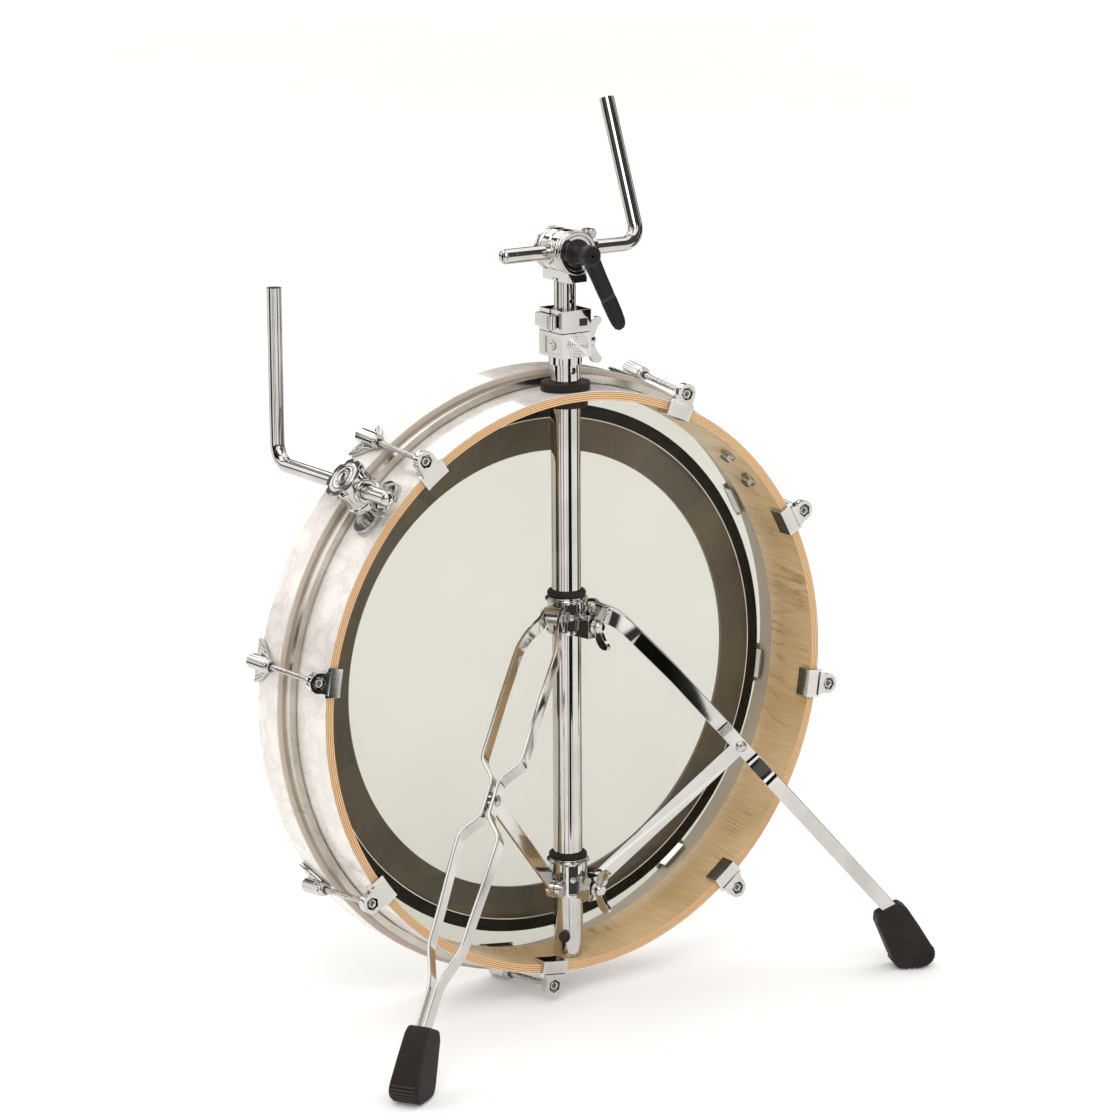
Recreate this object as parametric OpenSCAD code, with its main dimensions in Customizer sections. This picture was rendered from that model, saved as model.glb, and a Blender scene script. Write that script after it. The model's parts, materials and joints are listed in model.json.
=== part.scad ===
// Shallow bass drum on a centre column with a two-leg folding base,
// a post clamp and an arm on top, and a second arm in a bracket on its side.
// The drum's axis runs along Y: the open side faces -Y, the beaten head +Y.
// Inside the modules the zero point is the middle of the shell's open edge.

/* [Shell] */
// Outer radius of the bare shell
shell_r = 254; // [245:1:258]
// Wall thickness of the shell
shell_t = 7; // [5:0.5:8]
// Depth of the shell along its axis
shell_depth = 63.5; // [60:0.5:66]
// Thickness of the pearl covering
wrap_t = 0.6; // [0.4:0.1:0.8]

/* [Hoop and head] */
// Outer radius of the wooden hoop
hoop_r = 266; // [265:0.5:267]
// Inner radius of the wooden hoop
hoop_in_r = 256; // [255.5:0.5:257]
// Where the wooden hoop starts along the axis
hoop_y0 = 58.1; // [57.9:0.1:58.3]
// Where the wooden hoop ends along the axis
hoop_y1 = 90; // [84:1:94]
// Outer radius of the metal flesh hoop
flesh_r = 262; // [261:0.5:263]
// Thickness of the head film
film_t = 0.35; // [0.3:0.05:0.5]

/* [Tension stations] */
// Directions of the eight stations round the shell, from +X towards +Z
station_angles = [28, 66, 126, 171, 216, 263, 308, 352];
// Distance of a tension rod from the drum's axis at the open edge
rod_r0 = 265.6; // [265.4:0.1:266]
// Outward lean of the tension rods
rod_tilt = 6; // [5.5:0.5:6.5]
// Radius of a tension rod
rod_r = 2.8; // [2.4:0.1:3]

/* [Column] */
// Distance of the column's axis behind the open edge
col_y = 22; // [21:0.5:24]
// Outer radius of the column tube
col_r = 12.7; // [12.7]
// Inner radius of the column tube
col_in_r = 10.7; // [10.5:0.1:11]
// Outer radius of the post that slides in the column
post_r = 9.5; // [9.5]
// Inner radius of the post
post_in_r = 7.5; // [7:0.5:8]
// Height of the axis of the upper arm above the drum's axis
arm_z = 373; // [370:1:378]

/* [Tom arms] */
// Radius of both arm rods
arm_r = 6.35; // [6.35]
// Length of the upper arm's stub to the left of the column
top_stub = 60; // [50:1:70]
// Distance from the column to the upper arm's bend
top_reach = 76; // [70:1:90]
// Length of the upper arm above its bend
top_rise = 128; // [100:1:160]
// Backward lean of the upper arm's raised part
top_lean = 22; // [15:1:30]
// Direction of the side arm round the shell
side_angle = 137.1; // [135:0.1:140]
// Distance of the side arm from the drum's axis
side_r = 286; // [284:1:288]
// How far the side arm's front end reaches before the open edge
side_stub = 30; // [10:1:40]
// Where the side arm turns upwards, along the drum's axis
side_bend_y = 148; // [130:1:160]
// Length of the side arm above its bend
side_rise = 150; // [120:1:180]

/* [Leg base] */
// Turn of the whole base about the column
base_turn = 4.5; // [0:0.5:8]
// Half the angle between the two legs
leg_spread = 62.5; // [58:0.5:66]
// Height of the leg pivots above the drum's axis
leg_pivot_z = 62; // [56:1:66]
// Distance of the leg pivots from the column's axis
leg_pivot_u = 24; // [24:0.5:25]
// Height of the lower strut pivots
strut_pivot_z = -180; // [-184:1:-176]
// Distance of the lower strut pivots from the column's axis
strut_pivot_u = 26; // [26:0.5:27]
// Distance out along the leg of the joint of leg and strut
knee_u = 153; // [150:1:156]
// Height of the joint of leg and strut
knee_z = -67; // [-69:1:-65]
// Width of the leg bars
bar_w = 13; // [12:0.5:14]
// Thickness of the leg bars
bar_t = 3; // [3]

/* [Hidden] */

$fn = 96;
fine = 720;            // facets of the big rings
gap = 0.2;             // glue line between rings that are bonded
run = 0.05;            // radial clearance of a running fit

// The part's zero point: floor level, in the middle of its width and depth
frame_x = 11;
frame_y = -4.85;
floor_z = -278.6;

shell_in = shell_r - shell_t;
wrap_in = shell_r + gap;
wrap_r = wrap_in + wrap_t;
hoop_wrap_in = hoop_r + gap;
hoop_wrap_r = hoop_wrap_in + wrap_t;
leg_end = [298, -233.8];   // lower end of a leg's middle line, inside its boot
screw_turn = -47;          // direction of the column's stop screw, from -Y
side_post_r = side_r - shell_r;

// ---------- Placing ----------

// Moves the drum's own frame to the part's frame on the floor
module placed() {
  translate([-frame_x, -frame_y, -floor_z]) children();
}

// Turns a shape drawn along Z so that it runs along +Y
module along_y(y = 0) {
  translate([0, y, 0]) rotate([-90, 0, 0]) children();
}

// A station round the shell: X points outward, Y along the drum's axis
module station(angle) {
  rotate([0, -angle, 0]) children();
}

// The leaning line of a tension rod, drawn along Z from the open edge
module rod_line() {
  translate([rod_r0, 0, 0]) rotate([0, 0, -rod_tilt]) rotate([-90, 0, 0])
    children();
}

// A ring round the drum's axis from a profile of [radius, y] points
module drum_ring(profile) {
  rotate([90, 0, 0]) mirror([0, 0, 1]) rotate_extrude($fn = fine)
    polygon(profile);
}

// The column's own frame
module on_column(z = 0) {
  translate([0, col_y, z]) children();
}

// The vertical plane of a leg: side is -1 for the left one, 1 for the right
module leg_plane(side) {
  on_column() rotate([0, 0, -90 + base_turn + side * leg_spread]) children();
}

// A plain tube
module tube(r, r_in, h) {
  difference() {
    cylinder(r = r, h = h);
    translate([0, 0, -1]) cylinder(r = r_in, h = h + 2);
  }
}

// A pin along Y with a flat head at each end
module headed_pin(r, half, head_r, head_t) {
  along_y(-half) cylinder(r = r, h = 2 * half);
  along_y(-half - head_t) cylinder(r = head_r, h = head_t);
  along_y(half) cylinder(r = head_r, h = head_t);
}

// A wing bolt whose shank runs from the zero point back along -Z
module wing_bolt(shank_r, shank, hub_r, span, tall) {
  translate([0, 0, -shank]) cylinder(r = shank_r, h = shank + 1);
  cylinder(r = hub_r, h = 8);
  for (side = [-1, 1])
    rotate([90, 0, 0]) translate([0, 0, -2])
      linear_extrude(height = 4) polygon([
        [side * (hub_r - 2), 0.5], [side * (hub_r - 2), 7.5],
        [side * (span - 6), tall], [side * (span - 1), tall],
        [side * span, tall - 5], [side * (span - 2), tall - 9]]);
}

// ---------- Drum ----------

module shell() placed() color("burlywood") difference() {
  drum_ring([[shell_in, 0], [shell_r, 0], [shell_r, shell_depth - 3],
    [shell_r - 2.5, shell_depth], [shell_r - 3.5, shell_depth],
    [shell_in, shell_depth - 3.5]]);
  on_column(shell_r - 20) cylinder(r = col_r + 0.5, h = 40);
  on_column(-shell_r - 20) cylinder(r = 4.2, h = 40);
  side_holes(3.2);
  for (a = spare_angles) shell_hole(a, col_y);
}

module shell_wrap() placed() color("mistyrose") difference() {
  drum_ring([[wrap_in, 0.2], [wrap_r, 0.2], [wrap_r, shell_depth - 4],
    [wrap_in, shell_depth - 4]]);
  on_column(shell_r - 20) cylinder(r = col_r + 0.5, h = 40);
  on_column(-shell_r - 20) cylinder(r = 4.2, h = 40);
  side_holes(3.2);
  for (a = spare_angles) shell_hole(a, col_y);
}

spare_angles = [38.5, 46.2];
side_screw_z = 15;     // side bracket's screws, to each side of its middle

// A screw hole through the shell at a station
module shell_hole(angle, y) {
  station(angle) translate([shell_in - 5, y, 0]) rotate([0, 90, 0])
    cylinder(r = 3.2, h = 20, $fn = 32);
}

module batter_head_film() placed() color("ivory", 0.5)
  drum_ring([[0, shell_depth], [shell_r - 2, shell_depth],
    [258.2, 57.6], [258.2, 48.6], [258.2 + film_t, 48.6],
    [258.2 + film_t, 57.8], [shell_r - 1.8, shell_depth + film_t],
    [0, shell_depth + film_t]]);

module flesh_hoop() placed() color("silver")
  drum_ring([[256, 46], [flesh_r, 46], [flesh_r, 57.9], [259.4, 57.9],
    [259.4, 48.2], [257.4, 48.2], [257.4, 56], [256, 56]]);

module batter_hoop() placed() color("burlywood")
  drum_ring([[hoop_in_r, hoop_y0 + 4.5], [259.6, hoop_y0], [hoop_r, hoop_y0],
    [hoop_r, hoop_y1], [hoop_in_r, hoop_y1]]);

module batter_hoop_wrap() placed() color("mistyrose")
  drum_ring([[hoop_wrap_in, hoop_y0 + 0.6], [hoop_wrap_r, hoop_y0 + 0.6],
    [hoop_wrap_r, hoop_y1 - 0.4], [hoop_wrap_in, hoop_y1 - 0.4]]);

// Black holder bonded to the outside of the film, with a lip over the ring
module damping_retainer() placed() color("#222222")
  translate([0, shell_depth + film_t, 0])
    drum_ring([[223.2, 0], [234, 0], [234, 3.4], [232.5, 4.8], [220, 4.8],
      [220, 3.6], [223.2, 3.6]]);

module damping_ring() placed() color("dimgray")
  translate([0, shell_depth + film_t, 0])
    drum_ring([[194, 0], [222.6, 0], [222.6, 3.4], [194, 3.4]]);

// ---------- Tension stations ----------

// Claw that hooks over the shell's open edge and holds the rod's head
module shell_claw() {
  difference() {
    union() {
      translate([243.6, -3.2, -12.5]) cube([13, 3.1, 25]);
      translate([243.6, -3.2, -12.5]) cube([3, 15.7, 25]);
      translate([255.3, -3.2, -9]) cube([2.6, 17, 18]);
      translate([255.3, -4.6, -9]) cube([rod_r0 - 255.3, 7.6, 18]);
      translate([rod_r0, -4.6, 0]) rotate([-90, 0, 0])
        cylinder(r = 9, h = 7.6, $fn = 48);
    }
    rod_line() translate([0, 0, -20]) cylinder(r = rod_r + 0.1, h = 40, $fn = 32);
    translate([rod_r0, -5.6, 0]) rotate([-90, 30, 0])
      cylinder(r = 6, h = 5.2, $fn = 6);
  }
}

module shell_claws() placed() color("silver")
  for (a = station_angles) station(a) shell_claw();

// Claw that hooks over the hoop's outer edge and takes the rod's thread
module hoop_claw() {
  out = hoop_wrap_r + 0.4;
  inner = hoop_in_r - 3.5;
  difference() {
    union() {
      translate([out, 75, -19]) cube([2.6, hoop_y1 - 72, 38]);
      translate([inner, hoop_y1 + 0.2, -19]) cube([out + 2.6 - inner, 2.8, 38]);
      translate([inner, hoop_y1 - 8, -19]) cube([2.4, 10, 38]);
      rod_line() translate([0, 0, 68]) cylinder(r = 5.4, h = 24);
      rod_line() translate([0, 0, 91.5]) cylinder(r1 = 5, r2 = 2.8, h = 3.6);
    }
    rod_line() translate([0, 0, 40]) cylinder(r = rod_r + 0.1, h = 50, $fn = 32);
  }
}

module hoop_claws() placed() color("silver")
  for (a = station_angles) station(a) hoop_claw();

// Rod with a round head that lies in the shell claw's hexagonal pocket
module tension_rod() {
  rod_line() translate([0, 0, -1.2]) cylinder(r = rod_r, h = 89, $fn = 32);
  rod_line() translate([0, 0, -3.8]) difference() {
    cylinder(r = 4.1, h = 2.8, $fn = 32);
    translate([0, 0, -1]) cylinder(r = 2, h = 2.4, $fn = 6);
  }
}

module tension_rods() placed() color("gray")
  for (a = station_angles) station(a) tension_rod();

// ---------- Column ----------

column_top = 303;
column_bottom = -246.5;

module column_tube() placed() color("silver") on_column() difference() {
  translate([0, 0, column_bottom])
    tube(col_r, col_in_r, column_top - column_bottom);
  translate([0, 0, 272]) rotate([90, 0, 0]) cylinder(r = 2.6, h = 20, $fn = 32);
  rotate([0, 0, screw_turn]) translate([0, 0, -227]) rotate([90, 0, 0])
    cylinder(r = 3.2, h = 20, $fn = 32);
}

// Rubber ring under the shell's skin line, cut to the shell's curve
module column_gasket_outer() placed() color("#222222") difference() {
  on_column(251) tube(21, col_r + 0.1, 10.5);
  along_y(-10) cylinder(r = wrap_r + gap, h = 80, $fn = fine);
}

module column_gasket_inner() placed() color("#222222") intersection() {
  on_column(240.5) tube(19, col_r + 0.1, 12);
  along_y(-10) cylinder(r = shell_in - gap, h = 80, $fn = fine);
}

module column_plug() placed() color("#222222") on_column() difference() {
  translate([0, 0, column_bottom]) cylinder(r = col_in_r - 0.1, h = 26);
  translate([0, 0, column_bottom - 1]) cylinder(r = 3.1, h = 17, $fn = 32);
  rotate([0, 0, screw_turn]) translate([0, 0, -227]) rotate([90, 0, 0])
    cylinder(r = 2.6, h = 20, $fn = 32);
}

// Fixing screw from under the shell, and the black stop screw in front
module column_screws() placed() color("#333333") {
  on_column() {
    translate([0, 0, -256.6]) cylinder(r = 3, h = 26, $fn = 32);
    translate([0, 0, -259.4]) cylinder(r = 7, h = 3, $fn = 48);
    rotate([0, 0, screw_turn]) translate([0, 0, -227]) rotate([90, 0, 0]) {
      cylinder(r = 2.5, h = 14, $fn = 32);
      translate([0, 0, 13]) cylinder(r = 5, h = 3.4, $fn = 48);
    }
  }
}

// ---------- Column clamp ----------

clamp_x = 15;
clamp_yh = 17.5;

module clamp_body() placed() color("silver") on_column() difference() {
  union() {
    translate([-clamp_x, -clamp_yh, 284]) cube([2 * clamp_x, 2 * clamp_yh, 20.8]);
    translate([0, 0, 277]) cylinder(r = 14.4, h = 8);
  }
  translate([0, 0, 270]) cylinder(r = col_r + run, h = 33.05);
  translate([0, 0, 300]) cylinder(r = post_r + 0.4, h = 6);
  // slot that lets the clamp close, on the wing bolt's side
  translate([0, -0.8, 270]) cube([20, 1.6, 34]);
  // recessed panel on the left face
  translate([-clamp_x - 1, -12, 287]) cube([2, 20, 14]);
  // threaded hole of the wing bolt
  translate([12.7, 0, 294]) rotate([0, 90, 0]) cylinder(r = 3.05, h = 10, $fn = 32);
}

// Upper half of the clamp, which grips the post
module clamp_cap() placed() color("silver") on_column() difference() {
  translate([-clamp_x, -clamp_yh, 305.4]) cube([2 * clamp_x, 2 * clamp_yh, 19]);
  translate([0, 0, 300]) cylinder(r = post_r + run, h = 40);
  translate([-20, -0.8, 300]) cube([12, 1.6, 40]);
  translate([-clamp_x - 1, -6, 309]) cube([7, 30, 12]);
  // shallow pocket in the front face
  translate([3, -clamp_yh - 1, 311]) cube([8, 2.2, 6]);
}

// Small gate that closes the left side of the clamp
module clamp_gate() placed() color("silver") on_column() difference() {
  union() {
    translate([-clamp_x - 5, -5.6, 309.4]) cube([10.6, 22, 11.2]);
    translate([-clamp_x - 5, -9, 309.4]) cylinder(r = 4.4, h = 11.2, $fn = 48);
  }
  translate([0, 0, 300]) cylinder(r = post_r + 0.4, h = 40);
  translate([-clamp_x - 5, -9, 300]) cylinder(r = 2.05, h = 40, $fn = 32);
}

module clamp_hinge_pin() placed() color("gray") on_column()
  translate([-clamp_x - 5, -9, 308.4]) cylinder(r = 2, h = 13.2, $fn = 32);

module clamp_wing_bolt() placed() color("silver") on_column()
  translate([clamp_x + 6, 0, 294]) rotate([0, 90, 0])
    wing_bolt(3, 5.8, 6, 20, 15);

// ---------- Post and upper clamp ----------

post_top = 348;

module post_glide() placed() color("#333333") on_column()
  translate([0, 0, 196]) tube(col_in_r - run, 4, 12);

module tom_post() placed() color("silver") on_column() difference() {
  translate([0, 0, 208.4]) tube(post_r, post_in_r, post_top - 208.4);
  for (z = [331, 340]) translate([0, 0, z]) rotate([90, 0, 0])
    cylinder(r = 1.6, h = 20, $fn = 32);
}

head_r = 19;

// Fork on the post that holds the tilting drum between two round cheeks
module post_head() placed() color("silver") on_column() difference() {
  union() {
    for (y = [-20, 12]) translate([0, 0, arm_z]) along_y(y) cylinder(r = head_r, h = 8);
    translate([-9.5, -20, post_top]) cube([19, 40, 8]);
    translate([0, 0, post_top - 14]) cylinder(r = post_in_r - 0.1, h = 15);
  }
  translate([0, 0, arm_z]) along_y(-11.7) cylinder(r = head_r + 0.5, h = 23.4);
  translate([0, 0, arm_z]) along_y(-30) cylinder(r = 5.05, h = 20);
}

// Drum between the cheeks that carries the arm and tilts with it
module tilt_drum() placed() color("silver") on_column(arm_z) difference() {
  along_y(-11.4) cylinder(r = 18.4, h = 22.8);
  rotate([0, 90, 0]) translate([0, 0, -30]) cylinder(r = arm_r + run, h = 60);
  along_y(-12) cylinder(r = 5.4, h = 6);
}

// Threaded bolt that the lever turns to press the arm tight
module clamp_bolt() placed() color("gray") on_column(arm_z)
  along_y(-36) cylinder(r = 5, h = 29.2);

module lever_washer() placed() color("#222222") on_column(arm_z)
  along_y(-21.8) tube(11.6, 5.1, 1.7);

lever_drop = 27;       // lever's direction from straight down, towards +X

// Hub and arm of the lever, with a pocket for its screw
module lever_handle() placed() color("#262626") on_column(arm_z) difference() {
  union() {
    along_y(-42) cylinder(r = 10, h = 20);
    rotate([0, -lever_drop, 0]) translate([0, -41, 0]) rotate([-90, 0, 0])
      linear_extrude(height = 8) polygon([[-8, 0], [8, 0], [6.4, 58],
        [6.4, 68], [3.4, 73], [-3.4, 73], [-6.4, 68], [-6.4, 58]]);
  }
  along_y(-37) cylinder(r = 5.1, h = 20);
  along_y(-44) cylinder(r = 3.7, h = 6.8);
}

module lever_screw() placed() color("gray") on_column(arm_z) difference() {
  along_y(-42.4) cylinder(r = 3.4, h = 4.8, $fn = 48);
  along_y(-43) cylinder(r = 1.9, h = 3, $fn = 6);
}

lock_screw_z = 13.4;   // height of the lock's screw above the arm

// Collar that keeps the arm's place when the clamp is opened
module arm_lock() placed() color("silver") on_column(arm_z) difference() {
  union() {
    translate([19.6, 0, 0]) rotate([0, 90, 0]) cylinder(r = 10.6, h = 8.6);
    translate([19.6, -5, 0]) cube([8.6, 10, 16.5]);
  }
  rotate([0, 90, 0]) translate([0, 0, 10]) cylinder(r = arm_r + run, h = 30);
  translate([10, -0.7, 0]) cube([20, 1.4, 20]);
  translate([23.9, -10, lock_screw_z]) rotate([-90, 0, 0])
    cylinder(r = 1.6, h = 20, $fn = 32);
}

module arm_lock_screw() placed() color("gray") on_column(arm_z)
  translate([23.9, 0, lock_screw_z]) {
    rotate([-90, 0, 0]) translate([0, 0, -6.4]) cylinder(r = 1.5, h = 12, $fn = 32);
    rotate([-90, 0, 0]) translate([0, 0, -8.4]) cylinder(r = 3.2, h = 3.2, $fn = 32);
  }

// L-shaped rod: along +X from -stub to the bend at reach, then up by rise
module bent_rod(stub, reach, rise, bend) {
  rotate([0, 90, 0]) translate([0, 0, -stub])
    cylinder(r = arm_r, h = stub + reach - bend, $fn = 64);
  translate([reach - bend, 0, bend]) rotate([90, 0, 0])
    rotate_extrude(angle = 90, start = -90, $fn = 64)
      translate([bend, 0]) circle(r = arm_r, $fn = 64);
  translate([reach, 0, bend]) cylinder(r = arm_r, h = rise - bend, $fn = 64);
}

module top_arm() placed() color("silver") on_column(arm_z)
  rotate([-top_lean, 0, 0]) bent_rod(top_stub, top_reach, top_rise, 16);

// ---------- Side bracket ----------

// The side bracket's frame: X outward from the shell's skin, Y along the drum
module at_side() {
  station(side_angle) translate([shell_r, col_y, 0]) children();
}

// Rounded plate on the shell, with its two ends round the shell
module side_pad(grow, thick) {
  for (z = [-14, 14]) translate([0, 0, z]) rotate([0, 90, 0])
    cylinder(r = 11.9 + grow, h = thick);
  translate([0, -11.4 - grow, -14]) cube([thick, 22.8 + 2 * grow, 28]);
}

// The holes for the side bracket's two screws
module side_holes(r) {
  at_side() for (s = [-1, 1]) translate([-13, 0, s * side_screw_z])
    rotate([0, 90, 0]) cylinder(r = r, h = 30, $fn = 32);
}

module side_gasket() placed() color("#333333") difference() {
  at_side() translate([-4, 0, 0]) side_pad(1, 6);
  side_holes(3.3);
  along_y(-10) cylinder(r = wrap_r + gap, h = 80, $fn = fine);
}

module side_flange() placed() color("silver") difference() {
  at_side() translate([2.1, 0, 0]) {
    side_pad(0, 4);
    rotate([0, 90, 0]) cylinder(r = 9, h = 13);
  }
  side_holes(3.1);
}

module side_screws() placed() color("gray") at_side()
  for (s = [-1, 1]) translate([0, 0, s * side_screw_z]) {
    translate([-13, 0, 0]) rotate([0, 90, 0]) cylinder(r = 3, h = 20, $fn = 32);
    translate([6.2, 0, 0]) rotate([0, 90, 0]) cylinder(r = 5.2, h = 3.4, $fn = 48);
    translate([-13.4, 0, 0]) rotate([0, 90, 0]) cylinder(r = 5.6, h = 4, $fn = 6);
  }

side_bolt_x = 14.2;    // side wing bolt's distance from the shell's skin

// Clamp block above the flange, bored for the arm along Y
module side_clamp() placed() color("silver") at_side() difference() {
  union() {
    translate([15.2, 0, 0]) rotate([0, 90, 0]) cylinder(r = 17, h = 26.6);
    translate([9.8, -21, -6.5]) cube([10, 11, 13]);
  }
  translate([side_post_r, -30, 0]) rotate([-90, 0, 0]) cylinder(r = arm_r + run, h = 60);
  translate([side_bolt_x, -30, 0]) rotate([-90, 0, 0]) cylinder(r = 3.05, h = 21, $fn = 32);
}

// Scalloped cap on the clamp
module side_cap() placed() color("silver") at_side() difference() {
  translate([42, 0, 0]) rotate([0, 90, 0]) cylinder(r = 19, h = 6);
  for (k = [0:7]) rotate([45 * k + 22.5, 0, 0]) translate([40, 0, 21.5])
    rotate([0, 90, 0]) cylinder(r = 5, h = 10, $fn = 32);
}

module side_wing_bolt() placed() color("silver") at_side()
  translate([side_bolt_x, -22, 0]) rotate([90, 0, 0]) rotate([0, 0, 90])
    wing_bolt(3, 9, 4.6, 11, 13);

module side_arm() placed() color("silver") station(side_angle)
  translate([side_r, 0, 0]) station(-side_angle) rotate([0, 0, 90])
    bent_rod(side_stub, side_bend_y, side_rise, 18);

module spare_bolts() placed() color("gray")
  for (a = spare_angles) station(a) translate([shell_r, col_y, 0]) {
    translate([-12, 0, 0]) rotate([0, 90, 0]) cylinder(r = 3, h = 14, $fn = 32);
    translate([1, 0, 0]) rotate([0, 90, 0]) cylinder(r = 6, h = 3, $fn = 48);
    translate([-9.1, 0, 0]) rotate([0, 90, 0]) cylinder(r = 7.5, h = 1.6, $fn = 48);
    translate([-13, 0, 0]) rotate([0, 90, 0]) cylinder(r = 5.6, h = 4, $fn = 6);
  }

// ---------- Leg base ----------

collar_r = 16.5;
ear_half = 6.2;
pin_r = 3;
wing_angle = 8;       // wing bolts' direction, from the base's middle line

// Cast collar round the column with an ear for each leg
module collar_body(z, h, pivot_u, pivot_z) {
  on_column(z - h / 2) tube(collar_r, col_r + run, h);
  for (side = [-1, 1]) leg_plane(side) difference() {
    union() {
      translate([14.5, -ear_half, pivot_z - 8]) cube([pivot_u - 14.5, 2 * ear_half, 16]);
      translate([pivot_u, -ear_half, pivot_z]) rotate([-90, 0, 0])
        cylinder(r = 8, h = 2 * ear_half);
    }
    translate([pivot_u, -20, pivot_z]) rotate([-90, 0, 0])
      cylinder(r = pin_r, h = 40, $fn = 48);
  }
}

// The direction of a collar's wing bolt, with X pointing outward
module wing_frame(z) {
  on_column(z) rotate([0, 0, -90 + base_turn + wing_angle]) children();
}

module wing_boss(z) {
  wing_frame(z) translate([14.5, -6.5, -10.5]) cube([17.5, 13, 21]);
}

module wing_hole(z) {
  wing_frame(z) translate([10, 0, 0]) rotate([0, 90, 0])
    cylinder(r = 3.05, h = 30, $fn = 32);
}

leg_collar_z = 59;
strut_collar_z = -175;

module leg_collar() placed() color("silver") difference() {
  union() {
    collar_body(leg_collar_z, 32, leg_pivot_u, leg_pivot_z);
    wing_boss(leg_collar_z - 6);
  }
  wing_hole(leg_collar_z - 6);
}

module leg_collar_bush() placed() color("#222222")
  on_column(leg_collar_z + 16) rotate_extrude()
    polygon([[col_r + 0.1, 0], [15.4, 0], [16.6, 1.4], [16.8, 3.6], [15.6, 5.6],
      [col_r + 0.1, 5.6]]);

module collar_pins(pivot_u, pivot_z, half) {
  for (side = [-1, 1]) leg_plane(side) translate([pivot_u, 0, pivot_z])
    headed_pin(pin_r - 0.02, half, 4.6, 1.8);
}

module leg_collar_pins() placed() color("gray")
  collar_pins(leg_pivot_u, leg_pivot_z, 10.2);

module collar_wing_bolt(z) {
  wing_frame(z) translate([33.5, 0, 0]) rotate([0, 90, 0])
    wing_bolt(3, 20.2, 6, 19, 16);
}

module leg_wing_bolt() placed() color("silver") collar_wing_bolt(leg_collar_z - 6);

// Middle line of a leg in its own plane, from the collar to the boot
leg_line = [[leg_pivot_u, leg_pivot_z], [46, 51], [92, 3], [knee_u, knee_z],
  leg_end];
// Half the spacing of a leg's two bars against the distance from the column
bar_spread = [[10, 8.3], [30, 8.3], [62, 18], [128, 18], [144, 3.3], [162, 3.3],
  [178, 18], [238, 15], [268, 3.4], [300, 3.4]];

// Unit direction of a segment, and the mitred offset of a corner of a line
function unit(v) = v / norm(v);
function side_of(a, b) = [-unit(b - a)[1], unit(b - a)[0]];
function corner(l, i) =
  i == 0 ? side_of(l[0], l[1]) :
  i == len(l) - 1 ? side_of(l[i - 1], l[i]) :
  let (m = unit(side_of(l[i - 1], l[i]) + side_of(l[i], l[i + 1])))
    m / (m * side_of(l[i], l[i + 1]));

// A band of even width along a line of points
module band(line, width) {
  polygon(concat(
    [for (i = [0:len(line) - 1]) line[i] + corner(line, i) * width / 2],
    [for (i = [len(line) - 1:-1:0]) line[i] - corner(line, i) * width / 2]));
}

// One leg bar: its outline in the leg's plane, cut by its path seen from above
module leg_bar(sign) {
  difference() {
    intersection() {
      rotate([90, 0, 0]) translate([0, 0, -30]) linear_extrude(height = 60) {
        band(leg_line, bar_w);
        translate(leg_line[0]) circle(r = bar_w / 2 + 0.5, $fn = 48);
      }
      translate([0, 0, -300]) linear_extrude(height = 420)
        band([for (p = bar_spread) [p[0], sign * p[1]]], bar_t);
    }
    translate([leg_pivot_u, 0, leg_pivot_z]) rotate([90, 0, 0])
      translate([0, 0, -40]) cylinder(r = pin_r + run, h = 80, $fn = 48);
    translate([knee_u, 0, knee_z]) rotate([90, 0, 0])
      translate([0, 0, -40]) cylinder(r = pin_r, h = 80, $fn = 48);
  }
}

module leg_bars(side) {
  leg_plane(side) for (sign = [-1, 1]) leg_bar(sign);
}

module knee_pin(side) {
  leg_plane(side) translate([knee_u, 0, knee_z]) headed_pin(pin_r - 0.02, 5, 5.2, 1.8);
}

// The boot's outline in the leg's plane: round at its end, flat at the floor
boot_outline = [[277, -228], [297.5, -218.5], [303.5, -222.5], [315, -240],
  [327, -259], [329.5, -266], [327.5, -272.5], [321.5, -276.8], [314, floor_z],
  [300, floor_z], [293.5, -275], [289.5, -268.5], [276.5, -236]];

// Rubber boot: a block on the end of a leg that grows wider to its round end
module boot(side) {
  leg_plane(side) difference() {
    intersection() {
      rotate([90, 0, 0]) translate([0, 0, -20]) linear_extrude(height = 40)
        polygon(boot_outline);
      translate([288, 0, -224]) rotate([0, 62, 0])
        translate([0, 0, -50]) linear_extrude(height = 100)
          polygon([[-12, -9.5], [0, -9.8], [40, -13.5], [80, -13.5],
            [80, 13.5], [40, 13.5], [0, 9.8], [-12, 9.5]]);
    }
    boot_pocket();
  }
}

// Room for the bars inside the boot
module boot_pocket() {
  intersection() {
    rotate([90, 0, 0]) translate([0, 0, -30]) linear_extrude(height = 60)
      band([leg_line[3], leg_line[4]], bar_w + 0.6);
    translate([0, 0, -300]) linear_extrude(height = 420)
      for (sign = [-1, 1])
        band([for (p = bar_spread) [p[0], sign * p[1]]], bar_t + 0.6);
  }
}

// Strut from the knee down to the sliding collar: its lower eye is wide
module strut(side) {
  leg_plane(side) difference() {
    rotate([90, 0, 0]) translate([0, 0, -1.4]) union() {
      linear_extrude(height = 2.8)
        band([[knee_u, knee_z], [strut_pivot_u, strut_pivot_z]], bar_w);
      for (end = [[knee_u, knee_z], [strut_pivot_u, strut_pivot_z]])
        translate([end[0], end[1], 0]) cylinder(r = 7.4, h = 2.8);
    }
    translate([knee_u, -5, knee_z]) rotate([-90, 0, 0])
      cylinder(r = pin_r + run, h = 10, $fn = 48);
    translate([strut_pivot_u, -5, strut_pivot_z]) rotate([-90, 0, 0])
      cylinder(r = 5, h = 10, $fn = 48);
  }
}

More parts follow.
